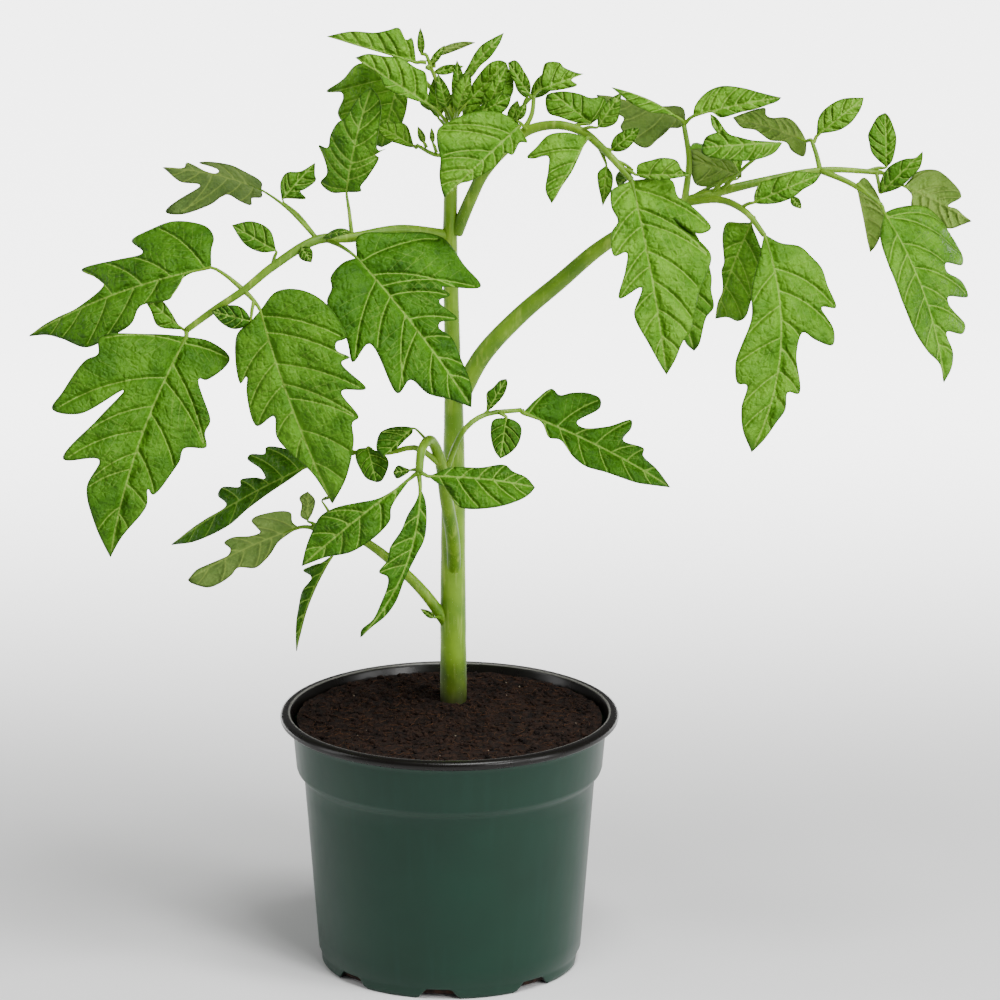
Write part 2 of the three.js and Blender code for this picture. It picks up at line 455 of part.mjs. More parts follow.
// The joined solid's faces, with its corners set on a fine grid, so that no sliver is left where pieces cross.
function geometryOf(manifold) {
  const { vertProperties, triVerts } = manifold.getMesh();
  const onGrid = vertProperties.map((value) => Math.round(value / GRID) * GRID);
  const shell = new THREE.BufferGeometry().setAttribute("position", new THREE.BufferAttribute(onGrid, 3));
  const merged = mergeVertices(shell.setIndex(new THREE.BufferAttribute(triVerts, 1)), GRID / 10);
  const corners = Array.from(merged.index.array);
  const faces = Array.from({ length: corners.length / 3 }, (_, i) => corners.slice(3 * i, 3 * i + 3));
  merged.setIndex(faces.filter((face) => new Set(face).size === 3).flat());
  while (liftFlatFaces(merged));
  return merged.deleteAttribute("normal");
}

// A face that the grid left without height gets its third corner moved one step off its longest edge.
// Returns how many such faces there were.
function liftFlatFaces(geometry) {
  geometry.computeVertexNormals();
  const { position, normal } = geometry.attributes;
  const index = geometry.index.array;
  const at = (attribute, i) => new THREE.Vector3().fromBufferAttribute(attribute, i);
  const edgeOf = ([from, to]) => at(position, to).sub(at(position, from));
  let lifted = 0;
  for (let f = 0; f < index.length; f += 3) {
    const turns = [0, 1, 2].map((k) => [index[f + k], index[f + ((k + 1) % 3)], index[f + ((k + 2) % 3)]]);
    const [from, to, tip] = turns.reduce((a, b) => (edgeOf(b).length() > edgeOf(a).length() ? b : a));
    const edge = edgeOf([from, to]);
    const height = edge.clone().cross(edgeOf([from, tip])).length() / edge.length();
    if (height > GRID / 5) continue;
    const inward = at(normal, from).add(at(normal, to)).cross(edge).setLength(GRID);
    position.setXYZ(tip, ...at(position, tip).add(inward));
    lifted += 1;
  }
  return lifted;
}

// A round solid from its outline, [radius, height] from the axis at the bottom to the axis at the top.
function turned(outline, around = AROUND) {
  const profile = outline.map(([r, z]) => new THREE.Vector2(r, z));
  return solid(new THREE.LatheGeometry(profile, around).rotateX(Math.PI / 2));
}

// ---------------------------------------------------------------- stems and stalks
function radiusAlong(radii, u) {
  const place = u * (radii.length - 1);
  const before = Math.min(Math.floor(place), radii.length - 2);
  return THREE.MathUtils.lerp(radii[before], radii[before + 1], place - before);
}

// A tapered round stem: a cylinder bent along the curve through the points.
function stemSolid(points, radii, sides, steps, extra = 0) {
  const curve = new THREE.CatmullRomCurve3(points, false, "centripetal");
  const frames = curve.computeFrenetFrames(steps);
  const geometry = new THREE.CylinderGeometry(1, 1, steps, sides, steps);
  const position = geometry.getAttribute("position");
  for (let i = 0; i < position.count; i++) {
    const step = Math.round(position.getY(i) + steps / 2);
    const u = step / steps;
    const radius = radiusAlong(radii, u) + extra;
    const place = curve
      .getPointAt(u)
      .addScaledVector(frames.normals[step], position.getX(i) * radius)
      .addScaledVector(frames.binormals[step], -position.getZ(i) * radius);
    position.setXYZ(i, place.x, place.y, place.z);
  }
  return solid(geometry);
}

// ---------------------------------------------------------------- leaflets
const FINE_LENGTH = 36; // blades longer than this have more corners along the midrib
const ARCH = 0.08; // how far the midrib bows towards the upper face, in leaflet lengths
const FOLD = 0.12; // rise of the blade beside the midrib
const CUP = 0.7; // fall of the margins
const CLOSE = 1.5; // a stalk shorter than this runs straight on from the midrib
const OVAL = [[0.12, 0.6], [0.4, 1], [0.75, 0.7]]; // a plain leaflet's margin: [share of its length, of its width]
const BESIDE = 0.01; // a margin keeps this far beside the midrib, in leaflet lengths
const SUNK = [0.3, 0.17, 4]; // stalks start this deep in what carries them, each deeper than the last, in turn

function bladeOf(leaflet, start, order) {
  const base = seen(...leaflet.base);
  const along = seen(...leaflet.tip).sub(base);
  const length = along.length();
  along.divideScalar(length);
  const [right, up, front] = leaflet.face;
  const upper = new THREE.Vector3(right, -front, up);
  upper.addScaledVector(along, -upper.dot(along)).normalize();
  const side = new THREE.Vector3().crossVectors(along, upper);
  const { arch = ARCH, sway = 0, fold = FOLD, cup = CUP } = leaflet;
  const back = start.distanceTo(base) < CLOSE ? along.clone().negate() : start.clone().sub(base).normalize();
  const [first, step, turns] = SUNK;
  const root = start.clone().addScaledVector(back, first + step * (order % turns));
  return { base, root, length, along, upper, side, arch, sway, fold, cup };
}

// The point of the bent blade at x to the right of the midrib and y along it, in leaflet lengths, lifted off
// the blade's middle by lift millimetres.
function bladePoint(blade, x, y, lift) {
  const { base, length, along, upper, side, arch, sway, fold, cup } = blade;
  const bow = y < 0 ? 4 * y : 4 * y * (1 - y);
  const slope = y < 0 ? 4 : 4 * (1 - 2 * y);
  const point = base
    .clone()
    .addScaledVector(along, length * y)
    .addScaledVector(upper, length * arch * bow)
    .addScaledVector(side, length * sway * bow);
  const ahead = along.clone().addScaledVector(upper, arch * slope).addScaledVector(side, sway * slope).normalize();
  const across = side.clone().addScaledVector(ahead, -side.dot(ahead)).normalize();
  const out = new THREE.Vector3().crossVectors(across, ahead);
  point.addScaledVector(across, length * x);
  point.addScaledVector(out, length * (fold * Math.abs(x) - cup * x * x));
  const normal = out.addScaledVector(across, 2 * cup * x - fold * Math.sign(x)).normalize();
  return point.addScaledVector(normal, lift);
}

// Where on the flat blade, as [x, y] in leaflet lengths, lies what is seen at [across, up].
function flatPlace(blade, place) {
  const { length, along, upper, side } = blade;
  const eye = seen(...place, 0);
  const sight = seen(...place, 100).sub(eye).normalize();
  let [x, y] = [0, 0.5];
  for (let round = 0; round < 6; round++) {
    const point = bladePoint(blade, x, y, 0);
    const reach = point.clone().sub(eye).dot(upper) / sight.dot(upper);
    const miss = eye.clone().addScaledVector(sight, reach).sub(point);
    x += miss.dot(side) / length;
    y += miss.dot(along) / length;
  }
  return [x, y];
}

// Both margins on the flat blade, each with the side that it lies on: 1 is right of the midrib, -1 left.
function marginsOf(leaflet, blade) {
  if (leaflet.wide) return [-1, 1].map((sign) => [sign, OVAL.map(([y, w]) => [sign * w * leaflet.wide, y])]);
  const [one, other] = [leaflet.one, leaflet.other].map((margin) => margin.map((place) => flatPlace(blade, place)));
  const middle = (margin) => margin.reduce((sum, [x]) => sum + x, 0) / margin.length;
  const sign = Math.sign(middle(one) - middle(other));
  return [[sign, one], [-sign, other]];
}

// A thin closed blade. Each half, between the midrib and the margin, is cut into triangles alike on both faces.
function bladeSolid(leaflet, blade) {
  const fine = blade.length > FINE_LENGTH;
  const ribShares = fine ? [0, 0.25, 0.5, 0.75, 1] : [0, 0.5, 1];
  const flat = [];
  const corner = (x, y) => flat.push(new THREE.Vector2(x, y)) - 1;
  const rib = ribShares.map((y) => corner(0, y));
  const triangles = [];
  const edges = [];
  for (const [sign, margin] of marginsOf(leaflet, blade)) {
    const outer = margin.map(([x, y]) => corner(sign * Math.max(sign * x, BESIDE), y));
    const line = [rib[0], ...outer, rib.at(-1)];
    const loop = [...line, ...rib.slice(1, -1).reverse()];
    const facing = (corners) => {
      const [p, q, r] = corners.map((id) => flat[id]);
      return q.clone().sub(p).cross(r.clone().sub(p)) > 0 ? corners : corners.reverse();
    };
    const faces = THREE.ShapeUtils.triangulateShape(loop.map((id) => flat[id]), []);
    triangles.push(...faces.map((face) => facing(face.map((k) => loop[k]))));
    edges.push(...line.slice(1).map((end, i) => (sign > 0 ? [line[i], end] : [end, line[i]])));
  }
  const count = flat.length;
  const half = BLADE_THICKNESS / 2;
  const points = [half, -half].flatMap((lift) => flat.map(({ x, y }) => bladePoint(blade, x, y, lift)));
  const index = triangles.flatMap(([a, b, c]) => [a, b, c, a + count, c + count, b + count]);
  for (const [a, b] of edges) index.push(a, a + count, b, b, a + count, b + count);
  return solid(new THREE.BufferGeometry().setFromPoints(points).setIndex(index));
}

// The round stalk of a leaflet, from what carries it to a little way into the blade.
const STALK = { into: 0.03, radius: 0.6, sides: 4, smallSides: 3 };

function stalkSolid(blade, radius) {
  const { root, base, length } = blade;
  const knee = root.clone().lerp(base, 0.55);
  knee.z += 0.06 * root.distanceTo(base);
  const thick = Math.min(radius, STALK.radius + 0.006 * length);
  const sides = length > FINE_LENGTH ? STALK.sides : STALK.smallSides;
  return stemSolid([root, knee, base, bladePoint(blade, 0, STALK.into, 0)], [thick, STALK.radius], sides, 3);
}

// ---------------------------------------------------------------- a leaf with everything that grows on it
const places = (list) => list.map((place) => seen(...place));

function leafSolid(leaf) {
  const path = places(leaf.path);
  const curve = new THREE.CatmullRomCurve3(path, false, "centripetal");
  const pieces = [stemSolid(path, leaf.radii, 6, Math.round(1.5 * path.length))];
  for (const { at, to, radii } of leaf.stalks ?? [])
    pieces.push(stemSolid([curve.getPointAt(at), ...places(to)], radii, 5, to.length + 1));
  leaf.leaflets.forEach((leaflet, order) => {
    const blade = bladeOf(leaflet, leaflet.from ? seen(...leaflet.from) : curve.getPointAt(leaflet.at), order);
    pieces.push(bladeSolid(leaflet, blade), stalkSolid(blade, 0.8 * radiusAlong(leaf.radii, leaflet.at ?? 1)));
  });
  return pieces.reduce((whole, piece) => whole.add(piece));
}

function largestBody(manifold) {
  return manifold.decompose().reduce((most, body) => (body.volume() > most.volume() ? body : most));
}

// ---------------------------------------------------------------- pot and soil
// One drain channel's solid, wider by extra on its two sides and its roof.
function channelSolid(turn, extra = 0) {
  const { foot, top, height, from, to } = CHANNELS;
  const section = new THREE.Shape(
    [[-foot / 2 - extra, -1], [foot / 2 + extra, -1], [top / 2 + extra, height + extra], [-top / 2 - extra, height + extra]]
      .map(([x, z]) => new THREE.Vector2(x, z)),
  );
  const bar = new THREE.ExtrudeGeometry(section, { depth: to - from + 2 * extra, bevelEnabled: false });
  bar.rotateX(Math.PI / 2).translate(0, -(from - extra), 0).rotateZ(turn);
  return solid(bar);
}

function holeSolid(turn) {
  const bore = new THREE.CylinderGeometry(CHANNELS.hole, CHANNELS.hole, 20, 8);
  bore.rotateX(Math.PI / 2).translate(0, -CHANNELS.holeAt, 0).rotateZ(turn);
  return solid(bore);
}

const channelTurns = Array.from({ length: CHANNELS.count }, (_, i) =>
  THREE.MathUtils.degToRad(CHANNELS.turned + (360 / CHANNELS.count) * i),
);

function potSolid() {
  let outside = turned([[0, 0], ...POT_OUTSIDE, [0, POT_HEIGHT]]);
  const rimTop = POT_INSIDE.at(-1)[0];
  let inside = turned([[0, WALL], ...POT_INSIDE, [rimTop, POT_HEIGHT + 5], [0, POT_HEIGHT + 5]]);
  for (const turn of channelTurns) {
    outside = outside.subtract(channelSolid(turn));
    inside = inside.subtract(channelSolid(turn, WALL));
  }
  let pot = outside.subtract(inside);
  for (const turn of channelTurns) pot = pot.subtract(holeSolid(turn));
  return pot;
}

// The soil's surface: level at the wall, heaped a little round the stem and crumbly.
function soilHeight(x, y) {
  const away = Math.hypot(x - STEM_FOOT[0], y - STEM_FOOT[1]);
  const heap = SOIL.mound * Math.exp(-((away / SOIL.moundRadius) ** 2));
  const crumb = Math.sin(0.9 * x + 1.7) * Math.sin(0.8 * y - 0.6) + 0.6 * Math.sin(1.9 * x - 1.3 * y);
  return SOIL.edge + heap + SOIL.crumb * 0.6 * crumb;
}

function soilSolid(stemHole) {
  const inset = POT_INSIDE.slice(0, -2).map(([r, z], i) => [r - GAP, i ? z : z + GAP]);
  const [edgeRadius, edgeHeight] = [inset.at(-1)[0] + 1.0, SOIL.edge];
  const top = Array.from({ length: SOIL.rings }, (_, i) => [edgeRadius * (1 - i / SOIL.rings), edgeHeight]);
  const profile = [[0, inset[0][1]], ...inset, ...top, [0, edgeHeight]].map(([r, z]) => new THREE.Vector2(r, z));
  const geometry = new THREE.LatheGeometry(profile, AROUND).rotateX(Math.PI / 2);
  const position = geometry.getAttribute("position");
  for (let i = 0; i < position.count; i++) {
    const [x, y] = [position.getX(i), position.getY(i)];
    const onTop = position.getZ(i) > edgeHeight - 0.01;
    const atWall = Math.hypot(x, y) > edgeRadius - 0.1;
    if (onTop && !atWall) position.setZ(i, soilHeight(x, y));
  }
  let soil = solid(geometry).subtract(stemHole);
  for (const turn of channelTurns) soil = soil.subtract(channelSolid(turn, WALL + GAP));
  return soil;
}

// ---------------------------------------------------------------- the whole plant
const stemTop = places(STEM.path);
const soilLevel = SOIL.edge + SOIL.mound;
const stemFoot = new THREE.Vector3(...STEM_FOOT, soilLevel - STEM_DEPTH);
const stemPoints = [stemFoot, new THREE.Vector3(...STEM_FOOT, soilLevel), ...stemTop];
const mainStem = stemSolid(stemPoints, [4.6, ...STEM.radii], 10, 16);
const stemEnd = stemTop.at(-1).clone().add(new THREE.Vector3(0, 0, GAP));
const roundTheStem = stemSolid([...stemPoints.slice(0, -1), stemEnd], [4.6, ...STEM.radii], 10, 16, GAP);
const belowStem = new THREE.CylinderGeometry(5.4 + GAP, 5.4 + GAP, 3, 12).rotateX(Math.PI / 2);
belowStem.translate(...STEM_FOOT, stemFoot.z + 1.5 - GAP);
const stemHole = roundTheStem.add(solid(belowStem));

const FINISH = {
  pot: { color: 0x1f3d2f, roughness: 0.38, metalness: 0 },
  soil: { color: 0x2a1a12, roughness: 0.95, metalness: 0 },
  stem: { color: 0x86a82e, roughness: 0.5, metalness: 0 },
  leaf: { color: 0x47802a, roughness: 0.55, metalness: 0 },
};

const plant = new THREE.Group();

// Where blades cross, a pocket can be left sealed between them: the largest body alone is kept, without pockets.
function addPiece(name, manifold, finish) {
  const whole = largestBody(solid(geometryOf(manifold)));
  const mesh = new THREE.Mesh(geometryOf(whole), new THREE.MeshStandardMaterial(FINISH[finish]));
  mesh.name = name;
  plant.add(mesh);
}

addPiece("pot", potSolid(), "pot");
addPiece("soil", soilSolid(stemHole), "soil");
addPiece("main_stem", mainStem, "stem");
const LEAVES = {
  leaf_left: LEAF_LEFT,
  leaf_front: LEAF_FRONT,
  leaf_low: LEAF_LOW,
  leaf_right: LEAF_RIGHT,
  shoot_right: SHOOT_RIGHT,
  crown: CROWN,
};
for (const [name, leaf] of Object.entries(LEAVES))
  addPiece(name, largestBody(leafSolid(leaf).subtract(roundTheStem)), "leaf");

export default plant;
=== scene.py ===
import json
import math
import random

import bmesh
import bpy
import numpy as np
from mathutils import Matrix, Vector, noise
from mathutils.geometry import delaunay_2d_cdt

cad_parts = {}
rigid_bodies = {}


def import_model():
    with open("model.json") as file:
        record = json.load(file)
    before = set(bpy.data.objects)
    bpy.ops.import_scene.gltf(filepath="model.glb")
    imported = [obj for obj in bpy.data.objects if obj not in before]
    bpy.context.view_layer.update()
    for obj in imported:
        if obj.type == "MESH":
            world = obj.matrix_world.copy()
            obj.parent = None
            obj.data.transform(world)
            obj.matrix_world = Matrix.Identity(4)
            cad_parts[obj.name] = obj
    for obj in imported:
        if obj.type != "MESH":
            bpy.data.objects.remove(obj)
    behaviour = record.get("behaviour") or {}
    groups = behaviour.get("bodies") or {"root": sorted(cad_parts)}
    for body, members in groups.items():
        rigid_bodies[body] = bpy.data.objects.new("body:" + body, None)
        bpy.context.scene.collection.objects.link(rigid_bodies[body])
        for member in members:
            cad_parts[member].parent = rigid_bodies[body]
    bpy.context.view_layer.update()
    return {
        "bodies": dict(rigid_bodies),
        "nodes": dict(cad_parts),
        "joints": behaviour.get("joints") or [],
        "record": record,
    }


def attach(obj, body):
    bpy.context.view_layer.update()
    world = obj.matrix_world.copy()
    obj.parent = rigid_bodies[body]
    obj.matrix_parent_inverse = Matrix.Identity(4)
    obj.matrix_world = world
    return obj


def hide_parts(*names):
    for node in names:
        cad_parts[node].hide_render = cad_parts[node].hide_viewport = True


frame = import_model()
mm = 0.001
chance = random.Random(7)
noise.seed_set(7)

# The viewing set-up, in millimetres and degrees. Places on the plant are given as seen from here:
# [across, up, back], where across and up lie on the picture plane, from the soil's middle.
viewing = {
    "target": Vector((20.4, 0, 193.3)),
    "targetUp": 76,
    "distance": 3000,
    "elevation": math.radians(16.2),
    "perPixel": 0.4,
    "pictureWidth": 1000,
    "sensor": 36,
}


def seen(across, up, back):
    sine, cosine = math.sin(viewing["elevation"]), math.cos(viewing["elevation"])
    rise = up - viewing["targetUp"]
    away = (back - rise * sine) / (cosine + rise * sine / viewing["distance"])
    grow = 1 + away / viewing["distance"]
    middle = viewing["target"]
    return Vector((middle.x + (across - middle.x) * grow, back,
                   middle.z + rise * grow * cosine - away * sine))


def hexColour(text):
    parts = [int(text[i:i + 2], 16) / 255 for i in (0, 2, 4)]
    return [c / 12.92 if c <= 0.04045 else ((c + 0.055) / 1.055) ** 2.4 for c in parts] + [1]


class Socket:  # an output of a shader node that takes part in Python arithmetic
    def __init__(self, finish, output):
        self.finish, self.output = finish, output

    def maths(self, operation, *values):
        return self.finish.node("ShaderNodeMath", {"operation": operation}, dict(enumerate(values)))

    def __add__(self, other): return self.maths("ADD", self, other)
    def __sub__(self, other): return self.maths("SUBTRACT", self, other)
    def __mul__(self, other): return self.maths("MULTIPLY", self, other)
    def __rsub__(self, other): return self.maths("SUBTRACT", other, self)
    __radd__, __rmul__ = __add__, __mul__

    def top(self, other): return self.maths("MAXIMUM", self, other)

    def smooth(self, low, high):  # eased from 0 at low to 1 at high
        return self.finish.node("ShaderNodeMapRange", {"interpolation_type": "SMOOTHSTEP"},
                                {"Value": self, "From Min": low, "From Max": high})


class Finish:  # a material whose nodes are added one by one
    def __init__(self, name):
        self.material = bpy.data.materials.new(name)
        self.material.use_nodes = True
        self.tree = self.material.node_tree
        self.tree.nodes.clear()

    def node(self, kind, settings=None, inputs=None, output=0):
        node = self.tree.nodes.new(kind)
        for key, value in (settings or {}).items():
            setattr(node, key, value)
        for key, value in (inputs or {}).items():
            if isinstance(value, Socket):
                self.tree.links.new(value.output, node.inputs[key])
            else:
                node.inputs[key].default_value = value
        return Socket(self, node.outputs[output])

    def place(self):
        return self.node("ShaderNodeTexCoord", output="Object")

    def axis(self, letter):  # how far along an axis, in mm
        return self.node("ShaderNodeSeparateXYZ", None, {"Vector": self.place()}, letter) * (1 / mm)

    def grain(self, size, detail=3, roughness=0.55):  # noise whose blobs are about size mm across
        return self.node("ShaderNodeTexNoise", None, {"Vector": self.place(), "Scale": 1 / (size * mm),
                                                      "Detail": detail, "Roughness": roughness})

    def streaks(self, perMetre, squeezed, detail):  # noise that is drawn out upwards
        place = self.node("ShaderNodeMapping", None, {"Vector": self.place(), "Scale": (1, 1, squeezed)})
        return self.node("ShaderNodeTexNoise", None, {"Vector": place, "Scale": perMetre, "Detail": detail})

    def attribute(self, name):
        return self.node("ShaderNodeAttribute", {"attribute_name": name}, output="Fac")

    def blend(self, factor, first, second):  # a colour is a socket, a list or six hex digits
        first, second = (hexColour(c) if isinstance(c, str) else c for c in (first, second))
        return self.node("ShaderNodeMix", {"data_type": "RGBA", "clamp_factor": True},
                         {0: factor, 6: first, 7: second}, 2)

    def bump(self, height, distance, strength=1):
        return self.node("ShaderNodeBump", None,
                         {"Height": height, "Distance": distance * mm, "Strength": strength})

    def surface(self, **inputs):  # the finished material
        named = {key.replace("_", " "): value for key, value in inputs.items()}
        shader = self.node("ShaderNodeBsdfPrincipled", None, named, "BSDF")
        output = self.tree.nodes.new("ShaderNodeOutputMaterial")
        self.tree.links.new(shader.output, output.inputs["Surface"])
        return self.material


def pieceFrom(bm, name, materials, smooth=True):  # a finished mesh, brought from millimetres to metres
    bmesh.ops.scale(bm, vec=(mm, mm, mm), verts=bm.verts)
    for face in bm.faces:
        face.smooth = smooth
    mesh = bpy.data.meshes.new(name)
    bm.to_mesh(mesh)
    bm.free()
    for material in materials:
        mesh.materials.append(material)
    piece = bpy.data.objects.new(name, mesh)
    bpy.context.scene.collection.objects.link(piece)
    return piece


def dress(piece, node):
    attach(piece, "root")
    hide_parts(node)


def spaced(points, count, finer=12):
    # count + 1 even places along the smooth curve through the points, worked out in finer steps first
    ends = [points[0] * 2 - points[1], *points, points[-1] * 2 - points[-2]]
    dense = []
    for before, start, end, after in zip(ends, ends[1:], ends[2:], ends[3:]):
        knots = [0.0]
        for a, b in ((before, start), (start, end), (end, after)):
            knots.append(knots[-1] + max((b - a).length, 1e-6) ** 0.5)
        t0, t1, t2, t3 = knots
        for step in range(finer):
            t = t1 + (t2 - t1) * step / finer
            a1 = before * ((t1 - t) / (t1 - t0)) + start * ((t - t0) / (t1 - t0))
            a2 = start * ((t2 - t) / (t2 - t1)) + end * ((t - t1) / (t2 - t1))
            a3 = end * ((t3 - t) / (t3 - t2)) + after * ((t - t2) / (t3 - t2))
            b1 = a1 * ((t2 - t) / (t2 - t0)) + a2 * ((t - t0) / (t2 - t0))
            b2 = a2 * ((t3 - t) / (t3 - t1)) + a3 * ((t - t1) / (t3 - t1))
            dense.append(b1 * ((t2 - t) / (t2 - t1)) + b2 * ((t - t1) / (t2 - t1)))
    dense.append(points[-1].copy())
    travelled = [0.0]
    for a, b in zip(dense, dense[1:]):
        travelled.append(travelled[-1] + (b - a).length)
    found, k = [], 0
    for step in range(count + 1):
        want = travelled[-1] * step / count
        while k < len(dense) - 2 and travelled[k + 1] < want:
            k += 1
        share = (want - travelled[k]) / max(travelled[k + 1] - travelled[k], 1e-9)
        found.append(dense[k].lerp(dense[k + 1], min(share, 1)))
    return found


def along(values, share):  # the value at a share of an evenly spaced list
    place = min(max(share, 0), 1) * (len(values) - 1)
    k = min(int(place), len(values) - 2)
    return values[k] + (values[k + 1] - values[k]) * (place - k)


def ringFrames(line):  # an upright frame at each place of a line, without twist
    frames = []
    side = None
    for k, place in enumerate(line):
        ahead = (line[min(k + 1, len(line) - 1)] - line[max(k - 1, 0)]).normalized()
        side = ahead.orthogonal() if side is None else side - ahead * side.dot(ahead)
        side.normalize()
        across = ahead.cross(side)
        frames.append(Matrix((side, across, ahead)).transposed().to_4x4())
        frames[-1].translation = place
    return frames


def addTube(bm, points, radii, sides, steps):
    # a closed tapered stem along the points; returns its rings' frames, for the hairs
    line = spaced(points, steps)
    frames = ringFrames(line)
    sizes = [along(radii, k / steps) for k in range(steps + 1)]
    sized = [frame @ Matrix.Diagonal((size, size, 1, 1)) for frame, size in zip(frames, sizes)]
    ring = bmesh.ops.create_circle(bm, cap_ends=True, segments=sides, radius=1, matrix=sized[0])["verts"]
    bmesh.ops.reverse_faces(bm, faces=list({f for v in ring for f in v.link_faces}))
    edges = list({e for v in ring for e in v.link_edges})
    for before, after in zip(sized, sized[1:]):
        grown = bmesh.ops.extrude_edge_only(bm, edges=edges)["geom"]
        move = after @ before.inverted_safe()
        bmesh.ops.transform(bm, matrix=move, verts=[g for g in grown if isinstance(g, bmesh.types.BMVert)])
        edges = [g for g in grown if isinstance(g, bmesh.types.BMEdge)
                 and all(v in grown for v in g.verts)]
    bmesh.ops.holes_fill(bm, edges=edges, sides=0)
    return frames


def scattered(bm, shape, matrices, batch=150):  # adds a copy of the shape's mesh at each matrix
    for first in range(0, len(matrices), batch):
        small = bmesh.new()
        for matrix in matrices[first:first + batch]:
            fresh = len(small.verts)
            small.from_mesh(shape)
            small.verts.ensure_lookup_table()
            bmesh.ops.transform(small, matrix=matrix, verts=small.verts[fresh:])
        held = bpy.data.meshes.new("held")
        small.to_mesh(held)
        small.free()
        bm.from_mesh(held)
        bpy.data.meshes.remove(held)


def shapeMesh(build):  # a small mesh that is copied many times
    bm = bmesh.new()
    build(bm)
    mesh = bpy.data.meshes.new("shape")
    bm.to_mesh(mesh)
    bm.free()
    return mesh


potShape = {  # millimetres, the profile as radius and height
    "wall": 1.4, "steps": 288,
    "outside": [(51.2, 0), (52, 0.8), (52.3, 4.8), (53.2, 6.4), (58.7, 77.8), (59.6, 79.6), (61.3, 81.2),
                (61.8, 82.6), (63.2, 98), (63.8, 100.4), (65.6, 101.4), (67.5, 101.5), (68.1, 102.1),
                (68.3, 103.2), (67.9, 104.3), (66.8, 104.9), (65.4, 105), (64.7, 104.9)],
    "inside": [(64.4, 104.8), (63.9, 103.6), (61.8, 98), (60.2, 82), (57.2, 78), (51.8, 7.4), (50.6, 1.4)],
    "channels": 8, "turned": -4.6,  # degrees, the front channel's bearing from the viewer's side
    "channelFrom": 20, "channelFoot": 17, "channelTop": 10, "channelHeight": 4.2,
    "channelRamp": 2,  # a channel's inner end slopes up over this length
    "floorRings": [46, 40, 34, 28, 22, 17, 10, 4],
    "insideRadius": 51.9, "insideFrom": 1,  # corners within these belong to the inside of the floor
    # long straight walls get more rings, so that the foot's notches bend them only near the floor
    "longWall": 40, "longCuts": 12, "footTop": 8, "footWall": 2, "footCuts": 3,
}
potLook = {
    "green": ("06261a", "093022"), "streak": "10352a", "foot": "1c3429",
    # the pale grey after the blacks is a painted highlight along the top of the lip
    "black": ("0b0907", "1c1712"), "rimHighlight": "7d7c77",
    "wallRadius": 52, "wallFoot": 6, "wallSlope": 0.0885,  # the middle of the leaning wall
    "rim": (99.9, 100.6), "lipRadius": 65.3, "lipTop": (104.3, 104.8),
    "roughness": 0.3, "specular": 0.24,
}


def channelRise(place):  # how high the base is pressed up at this place
    bearing = math.atan2(place.x, -place.y) - math.radians(potShape["turned"])
    turn = 2 * math.pi / potShape["channels"]
    off = (bearing + turn / 2) % turn - turn / 2
    away = math.hypot(place.x, place.y)
    beside = abs(away * math.sin(off))
    foot, top = potShape["channelFoot"] / 2, potShape["channelTop"] / 2
    side = min(max((foot - beside) / (foot - top), 0), 1)
    inner = min(max((away * math.cos(off) - potShape["channelFrom"]) / potShape["channelRamp"], 0), 1)
    return potShape["channelHeight"] * side * inner


def makePot(shell):
    bm = bmesh.new()
    rings = potShape["floorRings"]
    profile = [(r, 0) for r in reversed(rings)] + potShape["outside"] + potShape["inside"]
    profile += [(r, potShape["wall"]) for r in rings]
    finer = []
    for (r0, z0), (r1, z1) in zip(profile, profile[1:]):
        rise, cuts = abs(z1 - z0), 1
        if rise > potShape["longWall"]:
            cuts = potShape["longCuts"]
        elif z1 < potShape["footTop"] and rise > potShape["footWall"]:
            cuts = potShape["footCuts"]
        finer += [(r0 + (r1 - r0) * k / cuts, z0 + (z1 - z0) * k / cuts) for k in range(cuts)]
    finer.append(profile[-1])
    line = [bm.verts.new((r, 0, z)) for r, z in finer]
    edges = [bm.edges.new(pair) for pair in zip(line, line[1:])]
    bmesh.ops.spin(bm, geom=line + edges, cent=(0, 0, 0), axis=(0, 0, 1), angle=2 * math.pi,
                   steps=potShape["steps"], use_merge=True)
    bmesh.ops.remove_doubles(bm, verts=bm.verts, dist=0.001)
    bmesh.ops.holes_fill(bm, edges=[e for e in bm.edges if e.is_boundary], sides=0)
    bmesh.ops.recalc_face_normals(bm, faces=bm.faces)
    for vert in bm.verts:
        rise = channelRise(vert.co)
        away = math.hypot(vert.co.x, vert.co.y)
        inside = vert.co.z > potShape["insideFrom"] and away < potShape["insideRadius"]
        floor = rise + (potShape["wall"] if inside else 0)
        if vert.co.z < floor + 0.01:
            vert.co.z = max(vert.co.z, floor)
    dress(pieceFrom(bm, "pot_shell", [shell]), "pot")


